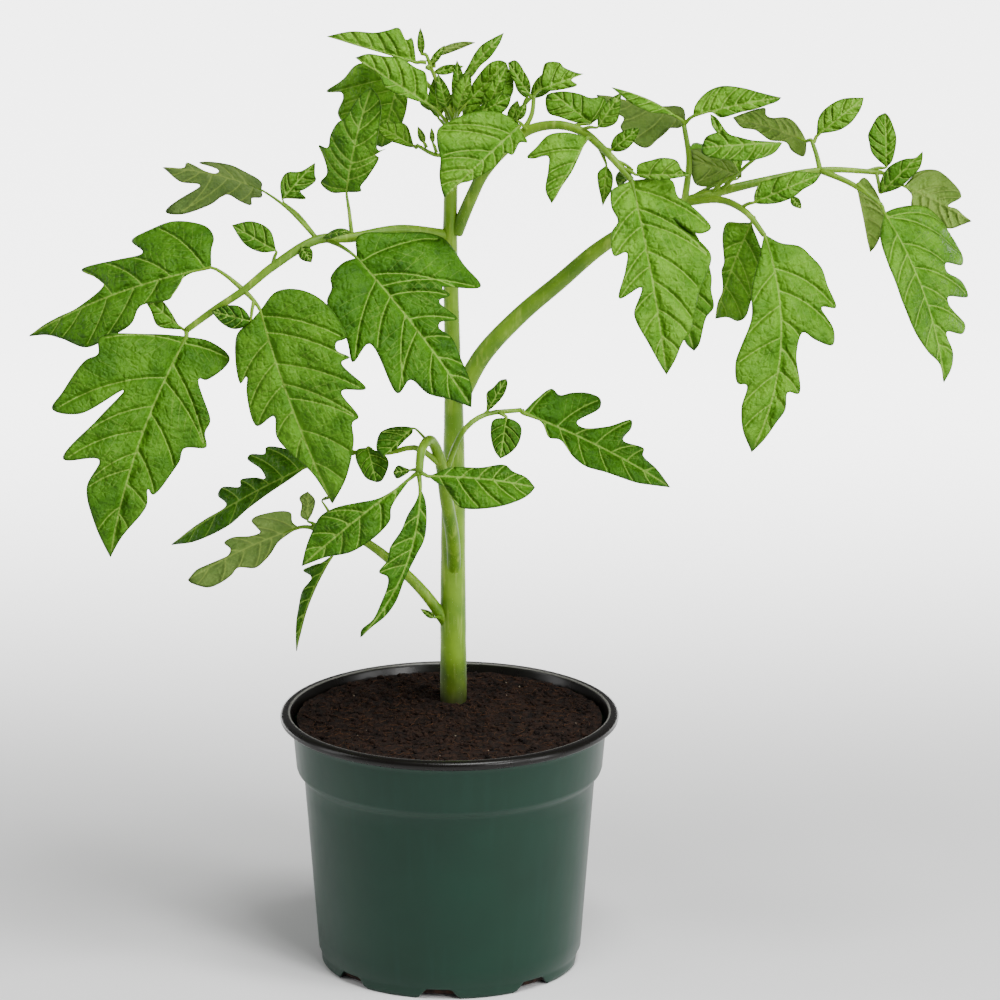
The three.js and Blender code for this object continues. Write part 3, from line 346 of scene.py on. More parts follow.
def potFinish():
    f = Finish("satinGreenPlastic")
    height = f.axis("Z")
    flat = f.node("ShaderNodeVectorMath", {"operation": "MULTIPLY"}, {0: f.place(), 1: (1, 1, 0)})
    away = f.node("ShaderNodeVectorMath", {"operation": "LENGTH"}, {0: flat}, "Value") * (1 / mm)
    # the rim and the inside are black: the wall leans outwards, so the inside is what lies within its middle
    wall = potLook["wallRadius"] + (height - potLook["wallFoot"]) * potLook["wallSlope"]
    within = (wall - away).smooth(0, 0.5)
    rim = height.smooth(*potLook["rim"])
    streak = f.streaks(220, 0.06, 3)
    green = f.blend(f.grain(30, 2), *potLook["green"])
    green = f.blend(streak.smooth(0.5, 0.8) * 0.25, green, potLook["streak"])
    green = f.blend(height.smooth(9, 0) * 0.35, green, potLook["foot"])
    scuffs = f.grain(0.9, 4, 0.7).smooth(0.62, 0.8)
    black = f.blend(scuffs * 0.5, *potLook["black"])
    # painted highlight: the top of the black lip is blended towards pale grey, where the rim's edge would
    # catch the light
    lip = (potLook["lipRadius"] - away).smooth(0, 0.5) * height.smooth(*potLook["lipTop"])
    black = f.blend(lip * 0.8, black, potLook["rimHighlight"])
    ripple = f.node("ShaderNodeTexNoise", None, {"Vector": f.place(), "Scale": 60, "Detail": 2})
    return f.surface(Base_Color=f.blend(within.top(rim), green, black), IOR=1.5,
                     Roughness=potLook["roughness"] + 0.08 * streak - 0.06 * rim,
                     Normal=f.bump(ripple, 0.25, 0.5), Specular_IOR_Level=potLook["specular"])


soilShape = {
    "edge": 102.8, "sunk": 0.9, "mound": 3, "moundRadius": 26, "stem": (1.6, 14), "stemClear": 5.2,
    "profile": [(0, 1.9), (50.3, 1.9), (51.5, 8), (56.9, 78), (59.9, 82), (61.2, 97), (61.6, 101.6)],
    "steps": 150, "ring": 1.0, "surfaceFrom": 101,  # all corners above this are the lumpy surface
    "coarse": 1.5, "fine": 0.55,  # heights of the lumps
    "crumbs": 2600, "crumbSize": (0.35, 1.9), "chips": 18, "chipSize": (0.3, 0.75), "crumbReach": 59.4,
    "fibres": 420, "fibreLength": (2, 8), "fibreRadii": [0.09, 0.13, 0.06], "fibreReach": (57, 59.5),
}


def soilHeight(x, y):
    away = math.hypot(x - soilShape["stem"][0], y - soilShape["stem"][1])
    heap = soilShape["mound"] * math.exp(-((away / soilShape["moundRadius"]) ** 2))
    spot = Vector((x, y, 0))
    lumps = noise.fractal(spot / 6, 0.8, 2.1, 3) * soilShape["coarse"] * 0.5
    grit = noise.noise(spot / 1.3) * soilShape["fine"] + noise.noise(spot / 0.7) * soilShape["fine"] * 0.6
    return soilShape["edge"] - soilShape["sunk"] + heap + lumps + grit


def makeSoil(earth, strands, chips):
    bm = bmesh.new()
    edgeRadius = soilShape["profile"][-1][0]
    rings = int(edgeRadius / soilShape["ring"])
    top = [(edgeRadius * (1 - k / rings), soilShape["edge"]) for k in range(1, rings + 1)]
    line = [bm.verts.new((r, 0, z)) for r, z in soilShape["profile"] + top]
    edges = [bm.edges.new(pair) for pair in zip(line, line[1:])]
    bmesh.ops.spin(bm, geom=line + edges, cent=(0, 0, 0), axis=(0, 0, 1), angle=2 * math.pi,
                   steps=soilShape["steps"], use_merge=True)
    bmesh.ops.remove_doubles(bm, verts=bm.verts, dist=0.001)
    bmesh.ops.recalc_face_normals(bm, faces=bm.faces)
    for vert in bm.verts:
        if vert.co.z > soilShape["surfaceFrom"]:
            vert.co.z = soilHeight(vert.co.x, vert.co.y)
    dress(pieceFrom(bm, "soil_body", [earth], smooth=False), "soil")

    def somewhere(edge):  # a place on the soil, not inside the stem
        while True:
            angle, away = chance.uniform(0, 2 * math.pi), edge * math.sqrt(chance.random())
            x, y = away * math.cos(angle), away * math.sin(angle)
            if math.hypot(x - soilShape["stem"][0], y - soilShape["stem"][1]) > soilShape["stemClear"]:
                return x, y

    def crumbShape(b):
        bmesh.ops.create_icosphere(b, subdivisions=1, radius=1)
        for vert in b.verts:
            vert.co *= 0.72 + 0.45 * noise.random()

    def places(count, low, high):  # where crumbs lie; most are small
        found = []
        for _ in range(count):
            x, y = somewhere(soilShape["crumbReach"])
            size = low * (high / low) ** (chance.random() ** 2)
            turn = Matrix.Rotation(chance.uniform(0, 6.28), 4, Vector((chance.random(), chance.random(), 1)))
            spot = Matrix.Translation((x, y, soilHeight(x, y) + 0.15 * size))
            found.append(spot @ turn @ Matrix.Diagonal((size, size * chance.uniform(0.6, 1), size * 0.7, 1)))
        return found

    shapes = [shapeMesh(crumbShape) for _ in range(5)]
    crumbs, pale = bmesh.new(), bmesh.new()
    for shape in shapes:
        scattered(crumbs, shape, places(soilShape["crumbs"] // len(shapes), *soilShape["crumbSize"]))
        scattered(pale, shape, places(soilShape["chips"] // len(shapes), *soilShape["chipSize"]))
    dress(pieceFrom(crumbs, "soil_crumbs", [earth], smooth=False), "soil")
    dress(pieceFrom(pale, "soil_chips", [chips], smooth=False), "soil")

    fibres = bmesh.new()
    for _ in range(soilShape["fibres"]):
        x, y = somewhere(soilShape["fibreReach"][0])
        heading, length = chance.uniform(0, 6.28), chance.uniform(*soilShape["fibreLength"])
        bend = chance.uniform(-0.5, 0.5)
        points = []
        for k in range(4):
            heading += bend
            x, y = x + math.cos(heading) * length / 4, y + math.sin(heading) * length / 4
            if math.hypot(x, y) > soilShape["fibreReach"][1]:
                break
            points.append(Vector((x, y, soilHeight(x, y) + 0.25 + 0.5 * chance.random())))
        if len(points) > 2:
            addTube(fibres, points, soilShape["fibreRadii"], 4, 4)
    dress(pieceFrom(fibres, "soil_fibres", [strands]), "soil")


def earthFinish():
    f = Finish("peatSoil")
    tone = f.grain(3.4, 5, 0.7)
    speck = f.grain(0.8, 3, 0.7)
    brown = f.blend(tone.smooth(0.35, 0.7), "0d0806", "2b1b12")
    brown = f.blend(speck.smooth(0.6, 0.74) * 0.6, brown, "4a3122")
    return f.surface(Base_Color=brown, Roughness=0.93, Normal=f.bump(speck, 0.4, 0.8),
                     Specular_IOR_Level=0.2)


def plainFinish(name, dark, light, size, rough):
    f = Finish(name)
    return f.surface(Base_Color=f.blend(f.grain(size), dark, light), Roughness=rough, Specular_IOR_Level=0.25)


stemLook = {
    "path": [[1.6, 52, 12], [2, 104, 10], [1.6, 128, 9], [1.2, 146, 8], [0.4, 184, 6], [0.8, 204, 5]],
    "radii": [4.6, 5.4, 5.2, 4.9, 4.2, 3.2, 3, 2.7],
    "foot": (1.6, 14), "depth": 34, "soil": 105.8, "axis": (1.6, 10),
    "ridges": 5, "ridgeHeight": 0.12, "swelling": 0.25, "swellingLength": 9,
    "sides": 28, "steps": 120,
    "hairsPerMm": 9, "hairLength": (0.5, 1.3), "hairRadius": 0.028, "hairRoot": 0.05, "hairTilt": 0.35,
}


def hairShape(bm):
    bmesh.ops.create_cone(bm, cap_ends=True, cap_tris=True, segments=3, radius1=1, radius2=0.15, depth=1,
                          matrix=Matrix.Translation((0, 0, 0.5)))


def hairPlaces(frames, radii, perMm):
    # where hairs stand on a stem: their roots just under its skin
    length = sum((b.translation - a.translation).length for a, b in zip(frames, frames[1:]))
    tilt, thick = stemLook["hairTilt"], stemLook["hairRadius"]
    found = []
    for _ in range(int(length * perMm)):
        place = chance.random()
        k = min(int(place * (len(frames) - 1)), len(frames) - 2)
        inner = place * (len(frames) - 1) - k
        centre = frames[k].translation.lerp(frames[k + 1].translation, inner)
        turn = frames[k].to_3x3() @ Matrix.Rotation(chance.uniform(0, 6.28), 3, "Z")
        out = turn @ Vector((1, 0, chance.uniform(-tilt, tilt)))
        out.normalize()
        stand = out.to_track_quat("Z", "Y").to_matrix().to_4x4()
        stand.translation = centre + out * (along(radii, place) - stemLook["hairRoot"])
        long = chance.uniform(*stemLook["hairLength"])
        found.append(stand @ Matrix.Diagonal((thick, thick, long, 1)))
    return found


def makeStem(bark, hair):
    points = [seen(*place) for place in stemLook["path"]]
    foot, soil, depth = stemLook["foot"], stemLook["soil"], stemLook["depth"]
    points = [Vector((*foot, soil - depth)), Vector((*foot, soil)), *points]
    bm = bmesh.new()
    frames = addTube(bm, points, stemLook["radii"], stemLook["sides"], stemLook["steps"])
    for vert in bm.verts:  # soft ridges and swellings
        around = math.atan2(vert.co.y - stemLook["axis"][1], vert.co.x)
        out = Vector((vert.co.x - stemLook["axis"][0], vert.co.y - stemLook["axis"][1], 0))
        ridge = stemLook["ridgeHeight"] * math.sin(stemLook["ridges"] * around + vert.co.z / 40)
        bulge = stemLook["swelling"] * noise.noise(Vector((0, 0, vert.co.z / stemLook["swellingLength"])))
        vert.co += out.normalized() * (ridge + bulge) * 0.6
    dress(pieceFrom(bm, "stem_main", [bark]), "main_stem")
    hairs = bmesh.new()
    above = [frame for frame in frames if frame.translation.z > soil + 2]
    radii = [along(stemLook["radii"], k / stemLook["steps"]) for k in range(len(frames))][-len(above):]
    scattered(hairs, shapeMesh(hairShape), hairPlaces(above, radii, stemLook["hairsPerMm"]))
    dress(pieceFrom(hairs, "stem_main_hairs", [hair]), "main_stem")


def barkFinish(name, low, high, pale, soilStain=False):
    f = Finish(name)
    lengthwise = f.streaks(520, 0.12, 4)
    patches = f.grain(14, 3)
    colour = f.blend(patches.smooth(0.3, 0.7), low, high)
    colour = f.blend(lengthwise.smooth(0.52, 0.75) * 0.55, colour, pale)
    if soilStain:
        stain = (f.axis("Z") + patches * 14).smooth(138, 112)
        colour = f.blend(stain * 0.92, colour, "211f0c")
    fine = f.grain(0.5, 2)
    return f.surface(Base_Color=colour, Roughness=0.42 + 0.15 * fine, Specular_IOR_Level=0.3,
                     Normal=f.bump(lengthwise + 0.4 * fine, 0.12, 0.6))


viewer, sky, away = [0, 0.3, 1], [0, 1, 0.45], [0, 0.5, -0.9]  # where an upper face looks: right, up, front
bladeLook = {
    "arch": 0.08, "fold": 0.12, "cup": 0.7,  # bend of the blade, as on the solids
    "thickness": 0.36,
    "spacing": 1.2, "marginStep": 0.9,  # mm between corners
    "quilt": 0.95, "quiltReach": 2.6, "quiltEdge": 1.5,  # the blade swells between its veins
    "ruffle": 0.9, "ruffleLength": 11, "ruffleFrom": 3.2, "ruffleFull": 40,  # full on blades of this length
    "grown": 45,  # blades shorter than this have finer veins
    "oval": [(0.04, 0.34), (0.12, 0.62), (0.25, 0.9), (0.4, 1), (0.58, 0.9), (0.75, 0.66), (0.9, 0.3)],
    "besideMidrib": (0.012, 0.004),  # how close a margin's corners and its smooth line come to the midrib
}
veinLook = {
    "midrib": 0.3, "sideVein": 0.17, "veinlet": 0.09,  # half widths in mm
    "lobe": 0.06, "lean": 0.72,  # a corner of the margin further out than lobe gets a vein, which leans up
    "starts": (0.03, 0.9), "end": 0.93,  # where such veins may leave the midrib, in leaflet lengths
    "large": 30, "apart": 0.17, "apartSmall": 0.24,  # the other veins stand closer on a large blade
    "angle": (36, 22, 6),  # degrees at the base, how many more at the tip, and how much this varies
    "reach": 0.93, "bow": 0.08,  # how near a vein comes to its tip, and how far it bows
    "forksFrom": 7, "manyForksFrom": 15,  # mm: shorter veins have no forks, or fewer
    "forkTurn": 0.72, "forkReach": 0.55, "shortestFork": 2,
}
stalkLook = {
    "radius": 0.7, "perBladeLength": 0.006, "ofStem": 0.8, "tip": 0.45,  # a leaflet's stalk
    "knee": 0.55, "kneeLift": 0.06, "into": (0.03, 0.14), "sunk": 0.1,
    "stemSides": 14, "stemSteps": 7, "branchSides": 10, "branchSteps": 14, "sides": 8, "steps": 12,
    "hairs": 0.55, "branchHairs": 0.9, "leafletHairs": 0.5,  # the first as a share of the main stem's
}
leafLook = {
    "upper": {"mature": ("1e4406", "39680c"), "young": ("4a7c14", "70a526"), "veins": "7fa040",
              "paler": "4c8518", "flecks": "123003", "roughness": 0.4, "relief": 1},
    "under": {"mature": ("58763a", "748f4a"), "young": ("668a30", "86a845"), "veins": "8fa94c",
              "paler": "7d9c45", "flecks": "6f9038", "roughness": 0.6, "relief": -0.7},
    "margin": "142c04", "tip": "142c0a", "net": 2.6, "bump": 1.6, "toneSpread": 0.2,
}
bladeMeasures = ("vein", "veinlet", "margin", "share", "tone")  # kept on a blade's corners, for its colours


class Blade:  # a leaflet bent in space; flat places (x, y) on it are in leaflet lengths
    def __init__(self, leaflet):
        self.base = seen(*leaflet["base"])
        self.along = seen(*leaflet["tip"]) - self.base
        self.length = self.along.length
        self.along.normalize()
        right, up, front = leaflet["face"]
        upper = Vector((right, -front, up))
        self.upper = (upper - self.along * upper.dot(self.along)).normalized()
        self.side = self.along.cross(self.upper)
        self.bend = [leaflet.get(key, bladeLook.get(key, 0)) for key in ("arch", "sway", "fold", "cup")]
        self.thin = min(1, (self.length / bladeLook["grown"]) ** 0.7)

    def point(self, x, y, lift=0):
        arch, sway, fold, cup = self.bend
        bow = 4 * y if y < 0 else 4 * y * (1 - y)
        slope = 4 if y < 0 else 4 * (1 - 2 * y)
        place = self.base + (self.along * y + self.upper * arch * bow + self.side * sway * bow) * self.length
        ahead = (self.along + self.upper * arch * slope + self.side * sway * slope).normalized()
        across = (self.side - ahead * self.side.dot(ahead)).normalized()
        out = across.cross(ahead)
        place += (across * x + out * (fold * abs(x) - cup * x * x)) * self.length
        tilt = 2 * cup * x - math.copysign(fold, x) if x else 0
        return place + (out + across * tilt).normalized() * lift

    def flat(self, place):  # where on the flat blade lies what is seen at [across, up]
        eye = seen(*place, 0)
        sight = (seen(*place, 100) - eye).normalized()
        x, y = 0, 0.5
        for _ in range(6):
            point = self.point(x, y)
            reach = (point - eye).dot(self.upper) / sight.dot(self.upper)
            miss = eye + sight * reach - point
            x += miss.dot(self.side) / self.length
            y += miss.dot(self.along) / self.length
        return Vector((x, y))

    def margins(self, leaflet):  # (side, flat margin) for the left, -1, and the right, 1, of the midrib
        if "wide" in leaflet:
            wide = leaflet["wide"]
            return [(side, [Vector((side * out * wide, y)) for y, out in bladeLook["oval"]])
                    for side in (-1, 1)]
        one, other = ([self.flat(place) for place in leaflet[key]] for key in ("one", "other"))
        middle = [sum(p.x for p in margin) / len(margin) for margin in (one, other)]
        side = 1 if middle[0] > middle[1] else -1
        return [(side, one), (-side, other)]


def curved(start, end, bulge, count=6):  # a bowed line between two flat places
    middle = (start + end) / 2 + bulge
    line = []
    for k in range(count + 1):
        t = k / count
        line.append(start * (1 - t) ** 2 + middle * 2 * t * (1 - t) + end * t * t)
    return line


def outlineOf(blade, leaflet):
    # both margins as smooth closely spaced lines from the base to the tip, and their corners
    lines = {}
    cornerGap, lineGap = bladeLook["besideMidrib"]
    for side, margin in blade.margins(leaflet):
        margin = [Vector((side * max(side * p.x, cornerGap), p.y)) for p in margin]
        points = [Vector((0, 0, 0)), *[p.to_3d() for p in margin], Vector((0, 1, 0))]
        run = sum((b - a).length for a, b in zip(points, points[1:])) * blade.length
        smooth = spaced(points, max(12, int(run / bladeLook["marginStep"])))
        lines[side] = [Vector((side * max(side * p.x, lineGap), p.y)) for p in smooth[1:-1]]
        lines[side, "corners"] = margin
    return lines


def reachAt(line, start, heading):  # how far a flat ray runs before it meets the margin
    best = 0.0
    for a, b in zip(line, line[1:]):
        edge = b - a
        cross = heading.x * edge.y - heading.y * edge.x
        if abs(cross) < 1e-9:
            continue
        t = ((a - start).x * edge.y - (a - start).y * edge.x) / cross
        u = ((a - start).x * heading.y - (a - start).y * heading.x) / cross
        if t > 0.01 and -0.01 <= u <= 1.01 and (not best or t < best):
            best = t
    return best


def mainVeins(blade, side, corners, line):  # where the veins of one half of the blade start and end
    tips = [b for a, b, c in zip(corners, corners[1:], corners[2:])
            if abs(b.x) > abs(a.x) and abs(b.x) >= abs(c.x) and abs(b.x) > veinLook["lobe"]]
    first, last = veinLook["starts"]
    mains, starts = [], [0]
    for tip in sorted(tips, key=lambda p: p.y):  # one runs into every lobe
        y = min(max(tip.y - veinLook["lean"] * abs(tip.x), first), last)
        mains.append((Vector((0, y)), tip))
        starts.append(y)
    starts = sorted([*starts, veinLook["end"]])
    apart = veinLook["apart"] if blade.length > veinLook["large"] else veinLook["apartSmall"]
    steep, more, vary = veinLook["angle"]
    for low, high in zip(starts, starts[1:]):  # and others run between them, none quite alike
        count = int((high - low) / apart)
        for k in range(1, count + 1):
            y = low + (high - low) * k / (count + 1) + 0.014 * math.sin(29 * low + 7 * k + side)
            angle = math.radians(steep + more * y + vary * math.sin(31 * y + 2 * side))
            heading = Vector((side * math.cos(angle), math.sin(angle)))
            reach = reachAt(line, Vector((0, y)), heading)
            if reach > 0.05:
                mains.append((Vector((0, y)), Vector((0, y)) + heading * reach))
    return mains


def forkedVein(blade, side, line, start, tip):  # a side vein, with veinlets that leave it on both sides
    run = (tip - start).length
    size = run * blade.length
    vein = curved(start, start.lerp(tip, veinLook["reach"]), Vector((side, -1)) * (veinLook["bow"] * run))
    veins = [(vein, veinLook["sideVein"] * blade.thin)]
    if size < veinLook["forksFrom"]:
        return veins
    for k in range(1, 5 if size > veinLook["manyForksFrom"] else 3):
        fork = vein[min(k, len(vein) - 2)]
        ahead = (vein[min(k + 1, len(vein) - 1)] - fork).normalized()
        for turn in (veinLook["forkTurn"], -veinLook["forkTurn"]):
            heading = Matrix.Rotation(turn, 2) @ ahead
            free = veinLook["forkReach"] * size / blade.length * (1 - k / 7)
            free = min(free, reachAt(line, fork, heading) or free)
            if abs(heading.x) > 1e-6 and heading.x * side < 0:  # it stops before the midrib
                free = min(free, 0.8 * abs(fork.x / heading.x))
            if free * blade.length > veinLook["shortestFork"]:
                end = fork + heading * free * 0.85
                veins.append((curved(fork, end, heading.orthogonal() * turn * 0.06 * free, 4),
                              veinLook["veinlet"] * blade.thin))
    return veins


def veinsOf(blade, lines):  # [(line, half width in mm)]
    midrib = [Vector((0, y / 14)) for y in range(14)] + [Vector((0, 0.97))]
    veins = [(midrib, veinLook["midrib"] * blade.thin)]
    for side in (-1, 1):
        for start, tip in mainVeins(blade, side, lines[side, "corners"], lines[side]):
            veins += forkedVein(blade, side, lines[side], start, tip)
    return veins


def nearest(places, starts, ends):  # distance from every place to every piece of line
    run = ends - starts
    size = np.maximum((run ** 2).sum(1), 1e-12)
    share = np.clip(((places[:, None] - starts) * run).sum(2) / size, 0, 1)
    return np.linalg.norm(places[:, None] - (starts + share[..., None] * run), axis=2)


def innerPlaces(loop, step, rowStep=0.87, stray=0.15, beside=0.45):
    # places in shifted rows inside the outline, a little out of line and clear of it, all in steps
    low = Vector((min(p.x for p in loop), min(p.y for p in loop)))
    high = Vector((max(p.x for p in loop), max(p.y for p in loop)))
    border = np.array([p[:] for p in loop])
    inner = []
    row, y = 0, low.y + step
    while y < high.y:
        x = low.x + (step / 2 if row % 2 else step)
        while x < high.x:
            inner.append((x + step * stray * math.sin(37 * y + 11 * x), y + step * stray * math.sin(41 * x)))
            x += step
        y += step * rowStep
        row += 1
    if not inner:
        return []
    clear = nearest(np.array(inner), border, np.roll(border, -1, 0)).min(1) > beside * step
    return [Vector(p) for p, keep in zip(inner, clear) if keep]


def flatNet(blade, loop, veins, onVein=0.2, offVein=0.25, furthest=20):
    # the flat blade in triangles whose edges follow the veins, and its corners' distances from what is near
    size = blade.length
    places = list(loop)
    edges = [(k, (k + 1) % len(loop)) for k in range(len(loop))]
    for line, _ in veins:
        first = len(places)
        places += line
        edges += [(first + k, first + k + 1) for k in range(len(line) - 1)]
    places += innerPlaces(loop, bladeLook["spacing"] / size)
    starts = np.array([p[:] for line, _ in veins for p in line[:-1]])
    ends = np.array([p[:] for line, _ in veins for p in line[1:]])
    widths = np.array([width for line, width in veins for _ in line[1:]])

    def cut():
        made = delaunay_2d_cdt(places, edges, [list(range(len(loop)))], 1, 1e-5)
        flat = np.array([v[:] for v in made[0]])
        return flat, made[2], nearest(flat, starts, ends) * size

    # a triangle with all its corners on veins would be one pale patch, so it gets a corner in its middle
    flat, faces, apart = cut()
    close = apart.min(1) < onVein
    held = [face for face in faces if all(close[k] for k in face)]
    middles = [sum((Vector(flat[k]) for k in face), Vector((0, 0))) / 3 for face in held]
    if middles:
        far = nearest(np.array([m[:] for m in middles]), starts, ends).min(1) * size
        places += [m for m, gap in zip(middles, far) if gap > offVein]
        flat, faces, apart = cut()
    main = widths > 1.01 * veinLook["veinlet"] * blade.thin
    border = np.array([p[:] for p in loop])
    return flat, faces, {
        "vein": np.minimum((apart[:, main] / widths[main]).min(1), furthest),  # in half widths
        "veinlet": np.minimum(apart.min(1) / veinLook["veinlet"], furthest),
        "gap": apart[:, main].min(1),
        "margin": nearest(flat, border, np.roll(border, -1, 0)).min(1) * size,
    }


def addBlade(bm, leaflet, blade, layers, tone, seed):
    lines = outlineOf(blade, leaflet)
    loop = [Vector((0, 0)), *lines[1], Vector((0, 1)), *reversed(lines[-1])]
    flat, faces, near = flatNet(blade, loop, veinsOf(blade, lines))
    size, wave = blade.length, bladeLook["ruffleLength"]
    known = len(bm.faces)
    verts = []
    for k, (x, y) in enumerate(flat):
        swell = bladeLook["quilt"] * blade.thin * min(near["margin"][k] / bladeLook["quiltEdge"], 1)
        swell *= 1 - math.exp(-(near["gap"][k] / bladeLook["quiltReach"]) ** 2)
        ruffle = bladeLook["ruffle"] * noise.noise(Vector((x * size / wave, y * size / wave, seed)))
        ruffle *= min(abs(x) * bladeLook["ruffleFrom"], 1) * min(size / bladeLook["ruffleFull"], 1)
        vert = bm.verts.new(blade.point(x, y, swell + ruffle - bladeLook["thickness"] / 2))
        for key in ("vein", "veinlet", "margin"):
            vert[layers[key]] = float(near[key][k])
        vert[layers["share"]] = float(y)
        vert[layers["tone"]] = tone
        verts.append(vert)
    skin = []
    for face in faces:
        corners = [flat[k] for k in face]
        turn = sum(a[0] * b[1] - a[1] * b[0] for a, b in zip(corners, corners[1:] + corners[:1]))
        if abs(turn) > 1e-12:
            skin.append(bm.faces.new([verts[k] for k in (face if turn > 0 else reversed(face))]))
    bmesh.ops.delete(bm, geom=[vert for vert in verts if not vert.link_faces], context="VERTS")
    raised = bmesh.ops.extrude_face_region(bm, geom=skin, use_keep_orig=True)["geom"]
    top = [part for part in raised if isinstance(part, bmesh.types.BMVert)]
    bmesh.ops.translate(bm, vec=blade.upper * bladeLook["thickness"], verts=top)
    upper = {part for part in raised if isinstance(part, bmesh.types.BMFace)}
    bm.faces.ensure_lookup_table()
    for face in bm.faces[known:]:
        face.material_index = 0 if face in upper else 1  # the rim looks like the underside


def makeLeaf(name, leaf, finishes):
    blades, stalks, hairs = bmesh.new(), bmesh.new(), bmesh.new()
    layers = {key: blades.verts.layers.float.new(key) for key in bladeMeasures}
    stem = [seen(*place) for place in leaf["path"]]
    line = spaced(stem, 100)
    stands = []

    def grow(points, radii, sides, steps, hairShare):
        frames = addTube(stalks, points, radii, sides, steps)
        stands.extend(hairPlaces(frames, radii, stemLook["hairsPerMm"] * stalkLook["hairs"] * hairShare))

    grow(stem, leaf["radii"], stalkLook["stemSides"], stalkLook["stemSteps"] * len(stem), 1)
    for stalk in leaf.get("stalks", []):
        points = [along(line, stalk["at"]), *[seen(*place) for place in stalk["to"]]]
        grow(points, stalk["radii"], stalkLook["branchSides"], stalkLook["branchSteps"],
             stalkLook["branchHairs"])
    thin = stalkLook["radius"]
    for order, leaflet in enumerate(leaf["leaflets"]):
        start = seen(*leaflet["from"]) if "from" in leaflet else along(line, leaflet["at"])
        blade = Blade(leaflet)
        tone = leaf["tone"] + leafLook["toneSpread"] * math.sin(2.3 * order + 2.5)
        addBlade(blades, leaflet, blade, layers, min(max(tone, 0), 1), 3.7 * order + len(name))
        knee = start.lerp(blade.base, stalkLook["knee"])
        knee.z += stalkLook["kneeLift"] * (blade.base - start).length
        thick = min(stalkLook["ofStem"] * along(leaf["radii"], leaflet.get("at", 1)),
                    thin + stalkLook["perBladeLength"] * blade.length)
        into = [blade.point(0, y, -stalkLook["sunk"]) for y in stalkLook["into"]]
        grow([start, knee, blade.base, *into], [thick, thin, thin * stalkLook["tip"]],
             stalkLook["sides"], stalkLook["steps"], stalkLook["leafletHairs"])
    scattered(hairs, shapeMesh(hairShape), stands)
    slot = "young_leaf" if name == "crown" else "leaf"
    dress(pieceFrom(blades, name + "_blades", [finishes["upper"], finishes["under"]]), name)
    dress(pieceFrom(stalks, name + "_stalks", [finishes["stalk"]]), name)
    dress(pieceFrom(hairs, name + "_hairs", [finishes["hair"]]), name)


def leafFinish(name, side):
    f, look = Finish(name), leafLook[side]
    vein, veinlet, margin, share, tone = (f.attribute(key) for key in bladeMeasures)
    broad, fine = f.grain(13, 3).smooth(0.3, 0.7), f.grain(1.2, 4, 0.65)
    cells = f.node("ShaderNodeTexVoronoi", {"feature": "DISTANCE_TO_EDGE"},
                   {"Vector": f.place(), "Scale": 1 / (leafLook["net"] * mm)}, "Distance")
    net = cells.smooth(0, 0.28)
    colour = f.blend(tone, f.blend(broad, *look["mature"]), f.blend(broad, *look["young"]))
    colour = f.blend((1 - net) * 0.14, colour, look["paler"])
    colour = f.blend(fine.smooth(0.45, 0.8) * 0.3, colour, look["flecks"])
    colour = f.blend(margin.smooth(1, 0.05) * 0.5, colour, leafLook["margin"])
    colour = f.blend(vein.smooth(10, 1) * 0.3, colour, look["paler"])
    colour = f.blend(veinlet.smooth(2.2, 0.6) * 0.22, colour, look["veins"])
    colour = f.blend(vein.smooth(1.7, 0.6) * 0.62, colour, look["veins"])
    colour = f.blend(share.smooth(0.9, 1.02) * 0.6, colour, leafLook["tip"])
    relief = vein.smooth(0.3, 9) * 0.8 + net * 0.2 + f.grain(4.5, 2) * 1.6 + f.grain(10, 1) * 2.4
    return f.surface(Base_Color=colour, Roughness=look["roughness"] + 0.18 * fine, IOR=1.4,
                     Specular_IOR_Level=0.14,
                     Normal=f.bump(relief * look["relief"] + 0.12 * fine, leafLook["bump"]))


